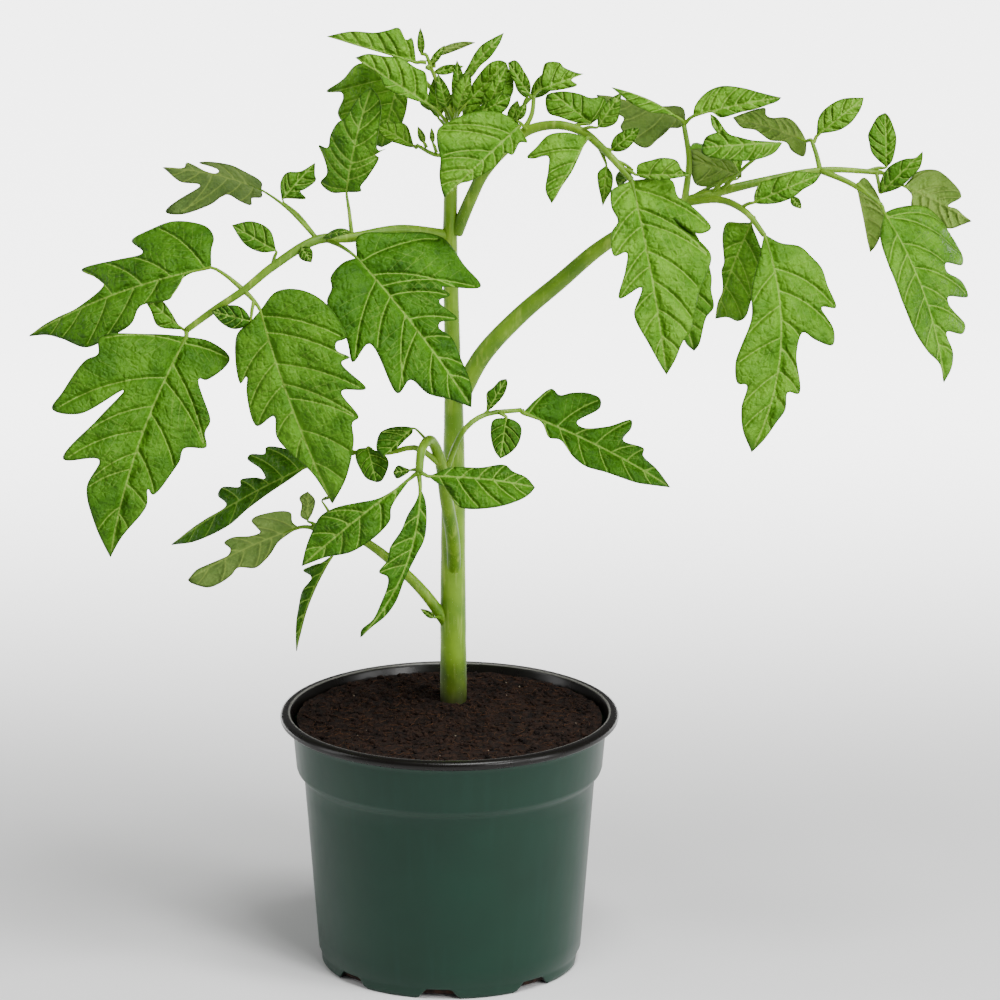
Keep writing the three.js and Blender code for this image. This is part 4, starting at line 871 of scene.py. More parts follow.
# The leaves' places, as seen: a leaflet's one and other are its two margins from the base to the tip.
leaves = {}
leaves["leaf_left"] = {
    "path": [[-1, 182, 6], [-20, 184, -3], [-39, 181, -12], [-53, 180, -17], [-71, 169, -23],
      [-82, 160, -26], [-94, 152, -28], [-105, 144, -30]],
    "radii": [2.3, 1.9, 1.3],
    "tone": 0.18,
    "leaflets": [
        {"at": 0.35, "base": [-41, 199, -8], "tip": [-31, 241, -2],
          "one": [[-47, 199], [-51.5, 203], [-49, 206.5], [-50.5, 214], [-52, 218], [-48.5, 217],
            [-47.5, 222], [-44.5, 227], [-41.5, 229], [-39, 233], [-34.5, 239]],
          "other": [[-35, 199.5], [-35.5, 201], [-32.5, 205], [-28, 213], [-29.5, 214], [-25, 216.5],
            [-28.5, 216], [-27.5, 227], [-27, 232], [-28, 237]],
          "face": [-0.35, 0.3, 1]},
        {"at": 0.47, "base": [-75, 200, -2], "tip": [-114.5, 209, 16],
          "one": [[-75, 203], [-81, 207], [-87, 210], [-100, 211], [-92, 208], [-93, 205], [-97, 206],
            [-105, 211], [-106, 209]],
          "other": [[-75, 197], [-79, 196.5], [-79, 194], [-83.5, 195.5], [-89, 198], [-95.5, 194],
            [-107.5, 188.5], [-114, 189.5], [-99.5, 202], [-107.5, 203.5]],
          "face": away, "arch": 0.06},
        {"at": 0.47, "base": [-67, 196, -3], "tip": [-53.5, 211, 2],
          "one": [[-67.5, 203], [-65, 207], [-59.5, 207.5]],
          "other": [[-65.5, 196.5], [-57, 196.5], [-59.5, 199.5], [-58, 200], [-53, 204], [-53.5, 206]],
          "face": viewer},
        {"at": 0.42, "base": [-50, 181, -20], "tip": [-39, 183, -26], "wide": 0.24, "face": sky},
        {"at": 0.52, "base": [-59, 177, -21], "tip": [-55, 171, -25], "wide": 0.4, "face": viewer},
        {"at": 0.65, "base": [-69, 175.5, -24], "tip": [-87, 186, -20],
          "one": [[-71.5, 184], [-78.5, 187.5]],
          "other": [[-75, 175], [-81.5, 178]],
          "face": viewer},
        {"at": 0.45, "base": [-37, 173, -24], "tip": [9, 113, -38],
          "one": [[-36.5, 181.5], [-21, 183], [-2.5, 181], [5.5, 171], [13, 161.5], [-3, 161],
            [0.5, 158], [-4, 155.5], [3.5, 148.5], [-3.5, 147], [-4, 145], [1, 141], [5, 132],
            [9, 121.5]],
          "other": [[-42.5, 171], [-47.5, 165], [-47, 161], [-49, 155], [-41, 140], [-38.5, 131],
            [-32, 138.5], [-20.5, 118.5], [-15.5, 124], [-8.5, 118.5], [1, 116]],
          "face": [0.25, 0.45, 1]},
        {"at": 0.77, "base": [-95, 169, -22], "tip": [-168, 141.5, -6],
          "one": [[-95, 176], [-94, 181], [-97, 185.5], [-108.5, 187.5], [-117, 185.5], [-127, 180],
            [-122.5, 175], [-133, 172], [-147, 168], [-138, 162.5], [-148.5, 153], [-155.5, 145],
            [-161.5, 143.5]],
          "other": [[-104.5, 167], [-109, 162], [-111.5, 156.5], [-123.5, 153.5], [-127, 146.5],
            [-135, 141.5], [-145, 137], [-155, 140.5], [-161, 142]],
          "face": [0, 0.9, 0.9], "arch": 0.08},
        {"at": 0.77, "base": [-75.5, 152, -32], "tip": [-46.5, 74.5, -50],
          "one": [[-69, 159.5], [-58.5, 160], [-49, 154.5], [-41, 141], [-45, 139], [-45, 136],
            [-39.5, 133], [-43, 131], [-33, 120.5], [-43, 119.5], [-36, 109], [-38.5, 107], [-38, 99.5],
            [-41, 85]],
          "other": [[-79.5, 147.5], [-85, 142], [-83.5, 122.5], [-81, 125.5], [-81, 119], [-77, 105.5],
            [-70, 109.5], [-69, 101.5], [-64, 95], [-55, 87]],
          "face": [-0.3, 0.35, 1]},
        {"from": [-78, 156, -30], "base": [-79.5, 147.5, -33], "tip": [-95, 151.5, -32],
          "wide": 0.3, "face": viewer},
        {"at": 0.97, "base": [-106, 144, -29], "tip": [-123.5, 158.5, -24],
          "one": [[-116.5, 145.5], [-119.5, 152]],
          "other": [[-109, 145], [-111, 151], [-115, 156]],
          "face": viewer},
        {"at": 1, "base": [-105, 141.5, -31], "tip": [-135.5, 53, -42],
          "one": [[-119.5, 142.5], [-140, 141], [-140.5, 134.5], [-145.5, 132], [-155, 119],
            [-159, 112.5], [-147.5, 110.5], [-130, 120], [-140.5, 108.5], [-154.5, 92.5], [-140, 92],
            [-145, 81], [-142, 67]],
          "other": [[-95.5, 139.5], [-87.5, 132.5], [-97, 124], [-100, 124.5], [-95.5, 108],
            [-97.5, 103], [-97, 97], [-106, 96.5], [-108, 91], [-118.5, 78], [-120.5, 80.5],
            [-121, 73.5], [-131, 61]],
          "face": [0.3, 0.35, 1], "sway": 0.06},
    ],
}
leaves["leaf_front"] = {
    "path": [[2, 46, 12], [1.6, 60, 0], [-1, 76, -9], [-3.6, 92, -18], [-7.6, 100, -28], [-11, 96, -37],
      [-12, 87, -42]],
    "radii": [2.9, 2.6, 1.6],
    "stalks": [
      {"at": 0.55, "to": [[6, 104, -20], [14, 110, -16], [29, 112, -12]], "radii": [1.3, 0.9]},
      {"at": 0.62, "to": [[-14, 97, -30], [-24, 95, -30], [-40, 95, -24]], "radii": [1.3, 0.9]},
    ],
    "tone": 0.0,
    "leaflets": [
        {"from": [-12, 87, -42], "base": [-15, 85, -42], "tip": [-59, 49.5, -48],
          "one": [[-27.5, 77], [-36.5, 75], [-45.5, 73], [-51.5, 69.5], [-55, 63], [-57, 58]],
          "other": [[-23, 73], [-23.5, 68], [-27.5, 63], [-32.5, 59], [-39.5, 55], [-49.5, 53],
            [-55, 51]],
          "face": [0, 0.5, 1]},
        {"from": [-12, 86, -42], "base": [-11.5, 81, -45], "tip": [-35.5, 21, -56],
          "one": [[-13, 76], [-16.5, 70], [-19, 64], [-23.5, 57], [-24.5, 52], [-28, 47], [-24.5, 45],
            [-27.5, 34], [-30.5, 28], [-35, 24]],
          "other": [[-9.5, 76], [-9, 66], [-10, 60], [-13, 54], [-17.5, 45], [-21.5, 35], [-25.5, 29.5],
            [-31, 25.5]],
          "face": [0.5, 0.3, 1], "sway": -0.07},
        {"from": [-12, 87, -42], "base": [-8.5, 85.5, -42], "tip": [34.5, 81, -36],
          "one": [[-4.5, 87], [0.5, 89], [12.5, 89], [22.5, 90], [25.5, 87.5], [31, 85]],
          "other": [[-3.5, 82], [0.5, 81], [1, 77], [4.5, 73], [18.5, 73], [28.5, 76], [32.5, 78.5]],
          "face": [0, 0.7, 1]},
        {"from": [-12, 88, -41], "base": [-15, 88, -40], "tip": [-22.5, 87, -40],
          "one": [[-17.5, 89], [-20.5, 90]],
          "other": [[-17.5, 86], [-21, 84.5]],
          "face": viewer},
        {"at": 0.66, "base": [-14.5, 105, -31], "tip": [-26.5, 93, -38],
          "one": [[-17.5, 105.5], [-23.5, 105], [-27.5, 103], [-29, 99], [-29, 96]],
          "other": [[-14.5, 103], [-17.5, 100], [-21, 96.5], [-24.5, 94.5]],
          "face": viewer},
        {"from": [-31, 96, -28], "base": [-32.5, 97, -30], "tip": [-29, 83, -36],
          "one": [[-37, 96], [-37.5, 93], [-35.5, 88], [-33, 84.5]],
          "other": [[-28.5, 95.5], [-25.5, 94], [-24, 91], [-25, 87], [-27, 83.5]],
          "face": viewer},
        {"from": [-38, 95, -25], "base": [-56.5, 89.5, -22], "tip": [-111, 58, -2],
          "one": [[-61, 94], [-67, 97], [-73, 97], [-73.5, 94.5], [-79.5, 94], [-80.5, 92.5], [-75, 88],
            [-73.5, 84.5], [-77, 85], [-83.5, 84], [-83.5, 81.5], [-91, 81], [-92.5, 78], [-89, 74],
            [-97, 67], [-101.5, 63.5]],
          "other": [[-63.5, 84.5], [-72.5, 78.5], [-80.5, 72.5], [-88, 66], [-101.5, 59.5]],
          "face": [-0.1, 0.8, 0.7], "arch": 0.04},
        {"from": [14, 110, -16], "base": [15, 111, -16], "tip": [23, 124.5, -16],
          "one": [[15, 115], [15, 119], [17.5, 121], [20.5, 124]],
          "other": [[17.5, 113], [20.5, 116], [22.5, 119], [23.5, 123]],
          "face": viewer},
        {"from": [20, 111, -15], "base": [23, 109, -15], "tip": [20.5, 92.5, -20],
          "one": [[17.5, 108], [16.5, 103], [17, 99], [18.5, 95]],
          "other": [[27, 107.5], [29, 105], [28.5, 100], [26.5, 96.5], [23.5, 94]],
          "face": viewer},
        {"from": [29, 112, -12], "base": [29.5, 111, -12], "tip": [88.5, 81, 6],
          "one": [[35, 116.5], [41, 120.5], [44, 118], [49, 119], [55, 119], [60.5, 116.5], [60.5, 113],
            [51, 107], [53.5, 105], [63.5, 105.5], [73, 108], [73, 105], [69.5, 100], [78, 96.5],
            [77.5, 94], [83, 88.5]],
          "other": [[37, 107], [40, 101], [44.5, 100], [49.5, 93.5], [54.5, 89.5], [63, 87], [74.5, 83],
            [80.5, 82]],
          "face": [0.1, 0.6, 1]},
    ],
}
leaves["leaf_low"] = {
    "path": [[-1, 27, 12], [-10, 39, 8], [-20, 49, 10], [-33, 59, 14], [-44, 64, 17], [-55, 65, 20]],
    "radii": [2.5, 2, 1.2],
    "tone": 0.15,
    "leaflets": [
        {"at": 1, "base": [-60, 65, 20], "tip": [-104.5, 44, 24],
          "one": [[-62.5, 67], [-63.5, 71], [-69.5, 71.5], [-77, 69.5], [-79, 67.5], [-77, 65],
            [-75.5, 63], [-79.5, 61.5], [-87, 61], [-90, 59], [-87.5, 56.5], [-88, 53.5], [-90, 51],
            [-98, 49.5], [-101, 48]],
          "other": [[-65.5, 61.5], [-68.5, 59], [-71, 55], [-73.5, 52], [-77.5, 49], [-84.5, 49],
            [-87, 46], [-91, 43], [-96.5, 41], [-103.5, 43]],
          "face": away, "arch": 0.05},
        {"at": 0.75, "base": [-46.5, 54, 16], "tip": [-61, 15.5, 12],
          "one": [[-51, 51], [-58.5, 48], [-55, 45], [-58.5, 40], [-60, 33.5], [-61, 27]],
          "other": [[-49.5, 50], [-52.5, 44], [-55, 37], [-57.5, 30.5], [-59, 24]],
          "face": [-0.8, 0.3, 0.8]},
        {"at": 0.95, "base": [-56.5, 67.5, 20], "tip": [-56.5, 79.5, 22],
          "one": [[-59.5, 69.5], [-59, 74], [-60, 77]],
          "other": [[-54.5, 71], [-53.5, 76]],
          "face": away},
        {"at": 0.85, "base": [-51, 76, 18], "tip": [-46.5, 77, 16], "wide": 0.2, "face": sky},
        {"at": 0.02, "base": [-6, 29, 4], "tip": [-11.5, 32.5, 0], "wide": 0.16, "face": viewer},
    ],
}
leaves["leaf_right"] = {
    "path": [[4, 117, 9], [13.5, 134, 6], [28.5, 150, 4], [44.5, 163.5, 2], [60.5, 177, 0], [82, 190, 0],
      [97, 196, 0], [123, 203, 2], [150, 208, 4], [173, 207, 6]],
    "radii": [4, 3.5, 3, 2.2, 1.5, 1],
    "stalks": [
      {"at": 0.61, "to": [[96, 212, 2], [94, 226, 5]], "radii": [1.5, 1]},
      {"at": 0.61, "to": [[109, 196, -8], [119, 191, -16], [126, 182, -24]], "radii": [1.7, 1.1]},
      {"at": 0.88, "to": [[147, 214, 6], [145, 220, 9]], "radii": [1.1, 0.8]},
      {"at": 0.88, "to": [[160, 203, -2], [168, 198, -6], [173, 194, -8]], "radii": [1.3, 0.9]},
    ],
    "tone": 0.7,
    "leaflets": [
        {"from": [94, 226, 5], "base": [93, 228, 4], "tip": [65, 241, 10],
          "one": [[87.5, 231], [82.5, 235], [76.5, 237]],
          "other": [[86.5, 230.5], [80.5, 231], [72.5, 235]],
          "face": [0, 1, 0.7]},
        {"from": [94, 225, 5], "base": [94.5, 227.5, 8], "tip": [59, 238, 26],
          "one": [[93.5, 233], [86.5, 233.5], [80.5, 233], [74.5, 234.5], [68.5, 235], [64.5, 237.5]],
          "other": [[92.5, 225], [87.5, 224.5], [79, 216.5], [73, 219.5], [68.5, 225], [70, 229],
            [65, 231.5], [60.5, 235]],
          "face": away, "arch": 0.04},
        {"from": [94, 226, 5], "base": [97.5, 229.5, 4], "tip": [133, 237, 2],
          "one": [[98.5, 234], [103.5, 239.5], [109, 241.5], [117, 241], [124.5, 239], [130.5, 237.5]],
          "other": [[100.5, 231], [105, 231], [108.5, 229], [116.5, 231], [123, 232.5], [127.5, 234],
            [131.5, 235.5]],
          "face": [0, 0.6, 1], "arch": 0.06},
        {"at": 0.66, "base": [116, 207, -7], "tip": [104.5, 230.5, -9],
          "one": [[113.5, 211], [111, 213], [109, 217], [107.5, 222], [105, 226]],
          "other": [[117.5, 211], [117.5, 215], [117, 219.5], [111.5, 223], [107, 229]],
          "face": viewer},
        {"at": 0.68, "base": [133.5, 219, -14], "tip": [101, 217, -20],
          "one": [[127.5, 219.5], [121, 220], [115, 221.5], [107.5, 223], [105, 222.5], [102.5, 221]],
          "other": [[130.5, 215], [126.5, 213], [118.5, 211.5], [111, 212], [103, 213.5], [101, 215]],
          "face": viewer},
        {"at": 0.6, "base": [117, 205, 8], "tip": [97, 212, 20],
          "one": [[113, 205], [109, 203], [103.5, 201], [97, 199.5], [97, 206]],
          "other": [[116.5, 209], [111.5, 214], [105, 218], [100.5, 220], [97, 218]],
          "face": away, "arch": 0.04},
        {"from": [126, 182, -24], "base": [126, 182.5, -24], "tip": [121, 95, -42],
          "one": [[123.5, 171], [121, 160], [121, 149], [117, 138], [114.5, 130.5], [115.5, 122.5],
            [119, 122], [117, 113], [117.5, 104]],
          "other": [[132.5, 179], [140.5, 177.5], [145, 173.5], [149, 169], [151.5, 162], [155, 153],
            [149, 153], [154, 144], [153.5, 138], [146.5, 140], [141.5, 143], [139, 134], [140, 118.5],
            [135.5, 119], [134.5, 112], [131, 107], [126, 100]],
          "face": [0.2, 0.3, 1], "sway": -0.09},
        {"from": [122, 189, -18], "base": [121, 187, -12], "tip": [106.5, 148.5, -6],
          "one": [[116.5, 187], [111, 187], [109.5, 183], [110, 171], [109, 168], [109.5, 162],
            [110.5, 158.5], [107.5, 155]],
          "other": [[126, 171], [121, 156], [118.5, 149], [115.5, 147.5], [111.5, 149]],
          "face": [-0.3, 0.2, 1]},
        {"from": [117, 193, -14], "base": [122, 195, -18], "tip": [149, 206.5, -20],
          "one": [[122, 198], [124.5, 203], [127.5, 204], [134.5, 206], [139, 207.5], [145, 207]],
          "other": [[123, 194.5], [130.5, 194.5], [135.5, 196], [138.5, 197.5], [141.5, 200],
            [146.5, 203]],
          "face": viewer},
        {"at": 0.8, "base": [137, 197, -2], "tip": [141, 192.5, -6], "wide": 0.3, "face": viewer},
        {"from": [146, 219, 9], "base": [147, 221.5, 9], "tip": [166, 237, 10],
          "one": [[147.5, 228], [149, 231], [153, 234.5], [157, 236.5], [160.5, 237], [163.5, 237]],
          "other": [[148.5, 222.5], [152.5, 223], [156.5, 224], [160.5, 226.5], [163, 229.5], [165, 233]],
          "face": viewer},
        {"from": [145, 220, 9], "base": [143, 219.5, 11], "tip": [113.5, 229, 20],
          "one": [[140.5, 224], [137.5, 227.5], [134.5, 229], [129, 229], [127, 230], [126.5, 233],
            [123, 232.5], [118.5, 231]],
          "other": [[143, 218], [142, 213.5], [137, 216], [135, 219], [128.5, 220], [125.5, 222],
            [122.5, 224], [117, 225]],
          "face": away, "arch": 0.04},
        {"from": [173, 194, -8], "base": [174, 191, -8], "tip": [198, 123, -22],
          "one": [[172.5, 181], [175.5, 171], [179, 162.5], [181.5, 154.5], [186, 144], [191.5, 135.5],
            [196.5, 130]],
          "other": [[179, 193], [190.5, 193], [198.5, 187], [200.5, 183], [205, 174], [205, 170],
            [198.5, 170.5], [199, 167.5], [205, 163], [207.5, 157.5], [199.5, 157], [200, 154],
            [206.5, 146], [205.5, 142.5], [199, 143], [201.5, 135], [201, 129]],
          "face": [0.9, 0.3, 0.9]},
        {"from": [168, 198, -6], "base": [163, 202.5, -4], "tip": [168.5, 175, -1],
          "one": [[166, 205], [169.5, 201.5], [172.5, 196], [174, 190], [173, 183], [171, 178]],
          "other": [[165.5, 197.5], [168.5, 192.5], [168.5, 187], [167.5, 180]],
          "face": away},
        {"at": 0.97, "base": [175, 209, 7], "tip": [174.5, 231, 12],
          "one": [[171.5, 212], [169, 215], [168, 219], [167.5, 222], [169, 225.5], [171.5, 229.5]],
          "other": [[177, 211], [178.5, 216], [179, 221], [178, 225], [176, 229.5]],
          "face": viewer},
        {"at": 0.99, "base": [172.5, 198.5, 1], "tip": [189.5, 215.5, -4],
          "one": [[172.5, 203], [173.5, 206], [175.5, 209], [178.5, 211], [182.5, 212.5], [186.5, 213]],
          "other": [[175, 199], [180.5, 201], [184.5, 204.5], [188.5, 209], [189.5, 213]],
          "face": viewer},
        {"at": 1, "base": [182, 201.5, 10], "tip": [209, 187.5, 20],
          "one": [[185, 205], [187.5, 207.5], [195, 208], [198.5, 206], [201.5, 203], [205, 197.5],
            [199, 193], [203, 192.5], [205.5, 189.5]],
          "other": [[185, 198], [185, 193], [192.5, 187], [200.5, 184.5], [205, 186]],
          "face": away, "arch": 0.04},
    ],
}
leaves["shoot_right"] = {
    "path": [[3, 183, 6], [8, 195, 2], [14, 207, -2], [23, 217, -6], [32, 224, -8], [44, 226, -12],
      [54, 223, -16], [60, 218, -20], [66, 212, -26], [73, 204, -30]],
    "radii": [2.7, 2.3, 1.8, 1.3],
    "stalks": [{"at": 0.48, "to": [[33, 230, -6], [34, 238, -4]], "radii": [1.1, 0.8]}],
    "tone": 0.62,
    "leaflets": [
        {"at": 0.45, "base": [28.5, 226, -12], "tip": [-2, 197, -26],
          "one": [[25, 229], [20.5, 231], [14.5, 231.5], [7, 230.5], [-1, 227], [-4.5, 224], [-4.5, 217],
            [-3.5, 213], [-4, 206], [-3, 200]],
          "other": [[29, 223.5], [31.5, 219], [28.5, 219], [25.5, 214], [22.5, 215], [20.5, 212],
            [18.5, 209], [15, 207], [8.5, 203.5], [4.5, 202.5], [1, 200]],
          "face": viewer},
        {"from": [34, 237, -4], "base": [33, 237, -4], "tip": [23.5, 251, 0],
          "one": [[31.5, 241], [30.5, 246], [29, 249.5], [26.5, 252]],
          "other": [[31, 237.5], [27, 241.5], [24.5, 246.5]],
          "face": viewer},
        {"from": [34, 238, -4], "base": [36, 240, -4], "tip": [54, 246.5, -2],
          "one": [[37, 246], [38.5, 251], [44.5, 251], [45.5, 249.5], [51, 247]],
          "other": [[39.5, 239.5], [44.5, 240], [51.5, 242], [49, 244]],
          "face": viewer},
        {"from": [31, 224, -9], "base": [27, 228, -13], "tip": [31, 235, -13], "wide": 0.26, "face": viewer},
        {"at": 0.68, "base": [57, 226.5, -14], "tip": [41, 239, -6],
          "one": [[50.5, 227], [44.5, 229], [39.5, 231], [39, 238]],
          "other": [[62.5, 231], [62.5, 237], [56.5, 237], [52.5, 238.5], [46.5, 239.5]],
          "face": viewer},
        {"at": 0.78, "base": [55.5, 221, -20], "tip": [41, 194.5, -30],
          "one": [[46.5, 223], [39.5, 222], [34.5, 217], [31, 213], [33.5, 212.5], [39.5, 213.5],
            [39.5, 208], [38.5, 200]],
          "other": [[51, 211], [49, 207], [44.5, 201], [41.5, 198]],
          "face": viewer},
        {"at": 0.72, "base": [59.5, 225, -22], "tip": [69, 239, -24],
          "one": [[59.5, 229], [61.5, 233], [65, 237]],
          "other": [[63, 225], [67, 227], [68.5, 232]],
          "face": viewer},
        {"at": 0.84, "base": [65, 216, -20], "tip": [76.5, 225, -22], "wide": 0.24, "face": viewer},
        {"at": 0.8, "base": [63, 210, -24], "tip": [61.5, 193.5, -20],
          "one": [[59.5, 207], [59.5, 203], [60.5, 198]],
          "other": [[65.5, 206], [65, 200], [63, 196.5]],
          "face": viewer},
        {"at": 0.9, "base": [73.5, 208, -26], "tip": [67.5, 201.5, -20],
          "one": [[71.5, 209], [68.5, 208], [66.5, 205]],
          "other": [[72.5, 205], [70.5, 203]],
          "face": viewer},
        {"at": 0.94, "base": [75, 206, -31], "tip": [97, 206, -36],
          "one": [[75.5, 210], [81, 212], [85, 213], [91, 212], [93.5, 208]],
          "other": [[76.5, 205], [84.5, 204], [92.5, 205]],
          "face": viewer},
        {"at": 1, "base": [73, 204, -30], "tip": [87, 126, -46],
          "one": [[68.5, 202], [65, 200], [65, 193], [67.5, 187.5], [65, 183], [66, 173.5], [71, 175],
            [70.5, 168], [68, 156.5], [77, 161], [74, 151], [75, 147], [79.5, 139], [84.5, 130]],
          "other": [[89, 204], [91.5, 197.5], [96.5, 194], [105, 185], [101, 182.5], [96.5, 183.5],
            [89.5, 189], [92.5, 185], [101, 179], [105, 173], [100.5, 160], [98, 149], [97, 144],
            [93.5, 139], [90.5, 132]],
          "face": [0.15, 0.35, 1]},
        {"from": [76, 201, -30], "base": [79, 197, -25], "tip": [98, 135.5, -33],
          "one": [[83, 182], [88.5, 166], [92.5, 152], [94.5, 139]],
          "other": [[96.5, 186], [105, 166], [105, 160], [106, 153], [103, 149], [100, 138]],
          "face": viewer},
    ],
}
leaves["crown"] = {
    "path": [[0.8, 204, 5], [1, 214, 5], [2, 222, 4], [2, 230, 3]],
    "radii": [2.6, 2.2, 1.5],
    "stalks": [
      {"at": 0.4, "to": [[-5, 214, 2], [-13, 218, -2]], "radii": [1, 0.7]},
      {"at": 0.9, "to": [[-2, 238, 5], [-6, 246, 4], [-9, 254, 2]], "radii": [1.1, 0.7]},
      {"at": 0.85, "to": [[-4, 236, 9], [-10, 244, 12], [-14, 247, 13]], "radii": [1, 0.8]},
    ],
    "tone": 0.85,
    "leaflets": [
        {"from": [-13, 217, -2], "base": [-14, 217.5, 0], "tip": [-28.5, 226, 5],
          "one": [[-15.5, 223], [-16.5, 225.5], [-18.5, 227], [-23, 227], [-25.5, 227]],
          "other": [[-15, 217], [-17.5, 217.5], [-20.5, 218.5], [-23.5, 219.5], [-27.5, 222.5]],
          "face": viewer},
        {"from": [-9, 217, -1], "base": [-10, 219, -1], "tip": [-12.5, 225.5, -4],
          "wide": 0.18, "face": viewer},
        {"from": [-5, 215, 1], "base": [-6.5, 219, 1], "tip": [-7, 225, -1], "wide": 0.16, "face": viewer},
        {"from": [1, 224, 4], "base": [-7, 233.5, -6], "tip": [-37.5, 253, -16],
          "one": [[-25.5, 241], [-27.5, 245.5], [-29.5, 249], [-33, 252]],
          "other": [[-8.5, 239], [-9.5, 247], [-13, 249], [-19.5, 253], [-25.5, 253.5], [-32.5, 254.5]],
          "face": viewer, "arch": 0.06},
        {"from": [-13, 246, 13], "base": [-18.5, 250.5, 13], "tip": [-27, 217, 20],
          "one": [[-36.5, 250.5], [-42.5, 244.5], [-49, 239.5], [-43, 239], [-42.5, 237], [-44.5, 230.5],
            [-41.5, 226]],
          "other": [[-16.5, 240], [-16.5, 236], [-17, 232], [-18.5, 227], [-21, 221], [-23, 219]],
          "face": viewer},
        {"from": [-9, 251, 2], "base": [-13, 251, 2], "tip": [-49, 261.5, 8],
          "one": [[-15, 261], [-17, 260], [-20, 265], [-24.5, 264], [-29.5, 263], [-39, 263.5]],
          "other": [[-18, 251.5], [-20.5, 253], [-23, 255], [-24.5, 259], [-28.5, 261], [-35.5, 261.5]],
          "face": viewer},
        {"from": [-9, 254, 2], "base": [-11, 254.5, 2], "tip": [-11.5, 265, 0], "wide": 0.14, "face": viewer},
        {"from": [-6, 249, 4], "base": [-6, 253.5, 4], "tip": [10.5, 259, 5], "wide": 0.12, "face": away},
        {"at": 0.98, "base": [3.5, 242.5, 0], "tip": [22, 263, -4],
          "one": [[7.5, 249.5], [10.5, 255], [13, 258], [17, 260.5]],
          "other": [[9, 245], [12.5, 249.5], [16.5, 253], [20.5, 259]],
          "face": viewer},
        {"at": 0.9, "base": [-1, 233, -3], "tip": [-4.5, 246.5, -8], "wide": 0.18, "face": viewer},
        {"at": 0.8, "base": [3, 231, -5], "tip": [8.5, 247, -11],
          "one": [[1, 237], [2.5, 241.5], [5, 245]],
          "other": [[6, 234.5], [8.5, 239], [9, 244]],
          "face": viewer},
        {"at": 0.9, "base": [6, 233.5, 1], "tip": [23, 251, 5],
          "one": [[8.5, 241], [12.5, 247], [16.5, 251], [20.5, 252]],
          "other": [[12.5, 234.5], [19, 235], [25, 237.5], [26, 242.5], [24.5, 247]],
          "face": viewer},
        {"at": 0.7, "base": [5, 227, -1], "tip": [25, 237.5, -5],
          "one": [[10, 232], [16.5, 236], [21, 238.5]],
          "other": [[11.5, 227], [19, 229.5], [23.5, 233]],
          "face": viewer},
        {"at": 0.75, "base": [5.5, 229.5, 8], "tip": [13, 241.5, 30],
          "one": [[5, 234.5], [7, 238.5], [10, 241]],
          "other": [[10, 231], [14, 236], [15, 239]],
          "face": [0, 1, -0.3]},
        {"at": 0.6, "base": [-2.5, 229, 9], "tip": [-11.5, 237, 30],
          "one": [[-5, 233.5], [-7.5, 236], [-10, 237]],
          "other": [[-6, 230.5], [-9, 232], [-11.5, 234.5]],
          "face": [0, 1, -0.3]},
        # young leaflets unfolding in the crown
        {"from": [1, 222, 6], "base": [-4.4, 229, 8], "tip": [-5.6, 246, 7], "wide": 0.2, "face": viewer},
        {"from": [1, 222, 6], "base": [-0.8, 228, 9], "tip": [7.6, 244, 10], "wide": 0.2, "face": viewer},
        {"from": [2, 226, 4], "base": [4.4, 233, 4], "tip": [3.2, 252, 2], "wide": 0.15, "face": viewer},
        {"from": [4, 222, 2], "base": [13.6, 229, 0], "tip": [23.2, 250, -3], "wide": 0.14, "face": viewer},
        {"from": [4, 222, 4], "base": [19, 229, 5], "tip": [20.4, 244, 6], "wide": 0.22, "face": viewer},
        {"from": [4, 220, 5], "base": [25, 226.5, 8], "tip": [27.4, 236, 9], "wide": 0.28, "face": viewer},
        {"from": [30, 234, 3], "base": [31.2, 237, 3], "tip": [26.6, 251, 2], "wide": 0.2, "face": viewer},
        {"from": [30, 234, 3], "base": [33, 237, 4], "tip": [45.6, 250, 5], "wide": 0.2, "face": viewer},
        {"from": [-9, 249, 2], "base": [-7.4, 250, 3], "tip": [-1.6, 258, 4], "wide": 0.16, "face": viewer},
        {"from": [-9, 249, 2], "base": [-6, 247, 5], "tip": [6, 249.5, 7], "wide": 0.16, "face": viewer},
    ],
}

finishes = {
    "upper": leafFinish("leafUpper", "upper"), "under": leafFinish("leafUnder", "under"),
    "stalk": barkFinish("leafStalk", "4a710c", "6a9016", "94ae42"),
    "hair": plainFinish("paleHair", "7f9a4c", "a9bf78", 3, 0.6),
}
makePot(potFinish())
print("pot done")
makeSoil(earthFinish(), plainFinish("rootFibre", "2c1a10", "55371f", 5, 0.9),
         plainFinish("paleChip", "5f5242", "9a8f7c", 2, 0.9))
print("soil done")
makeStem(barkFinish("stemSkin", "567e10", "769c1c", "a4bb52", soilStain=True), finishes["hair"])
print("stem done")
for name, leaf in leaves.items():
    makeLeaf(name, leaf, finishes)
    print(name, "done")


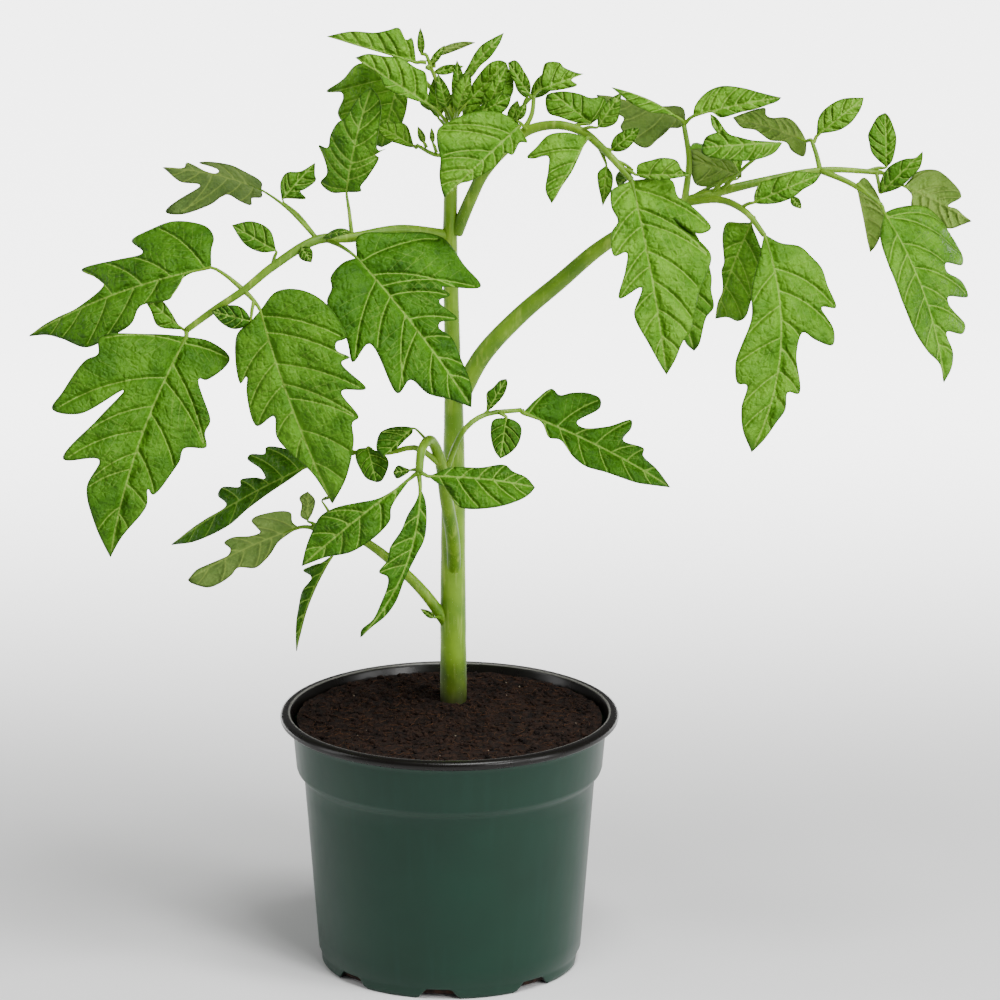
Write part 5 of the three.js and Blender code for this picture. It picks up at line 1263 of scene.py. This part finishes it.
studio = {
    "floor": "f4f4f4", "floorSize": 20000,
    "floorGlow": 4.5, "glow": (150, 900),  # behind the pot the floor grows brighter, as a lit backdrop does
    "world": (1, 1, 1), "worldStrength": 0.22, "aim": (0, 0, 180),
    # name: (place in mm, size in mm, strength in watts)
    "lights": {
        "top": ((300, -500, 1500), (700, 700), 27),
        "frontRight": ((1000, -1300, 800), (400, 900), 17),
        "left": ((-1200, -100, 500), (350, 1300), 7),
        "right": ((1300, -650, 450), (380, 1300), 13),
    },
}


def makeStudio():
    bm = bmesh.new()
    bmesh.ops.create_grid(bm, x_segments=1, y_segments=1, size=studio["floorSize"])
    f = Finish("paleFloor")
    glow = f.blend(f.axis("Y").smooth(*studio["glow"]), "000000", "ffffff")
    floor = pieceFrom(bm, "floor", [f.surface(Base_Color=hexColour(studio["floor"]), Roughness=0.9,
                                              Emission_Color=glow, Emission_Strength=studio["floorGlow"])])
    world = bpy.data.worlds.new("studio")
    world.use_nodes = True
    back = world.node_tree.nodes["Background"]
    back.inputs["Color"].default_value = (*studio["world"], 1)
    back.inputs["Strength"].default_value = studio["worldStrength"]
    bpy.context.scene.world = world
    for name, (place, size, watts) in studio["lights"].items():
        data = bpy.data.lights.new(name, "AREA")
        data.shape, data.size, data.size_y, data.energy = "RECTANGLE", size[0] * mm, size[1] * mm, watts
        lamp = bpy.data.objects.new(name, data)
        lamp.location = Vector(place) * mm
        aim = Vector(studio["aim"]) * mm - lamp.location
        lamp.rotation_euler = aim.to_track_quat("-Z", "Y").to_euler()
        bpy.context.scene.collection.objects.link(lamp)


def makeCamera():
    data = bpy.data.cameras.new("camera")
    data.sensor_width = viewing["sensor"]
    data.lens = viewing["sensor"] * viewing["distance"] / (viewing["pictureWidth"] * viewing["perPixel"])
    camera = bpy.data.objects.new("camera", data)
    back = Vector((0, -math.cos(viewing["elevation"]), math.sin(viewing["elevation"])))
    camera.location = (viewing["target"] + back * viewing["distance"]) * mm
    camera.rotation_euler = (math.pi / 2 - viewing["elevation"], 0, 0)
    bpy.context.scene.collection.objects.link(camera)
    bpy.context.scene.camera = camera


makeStudio()
makeCamera()
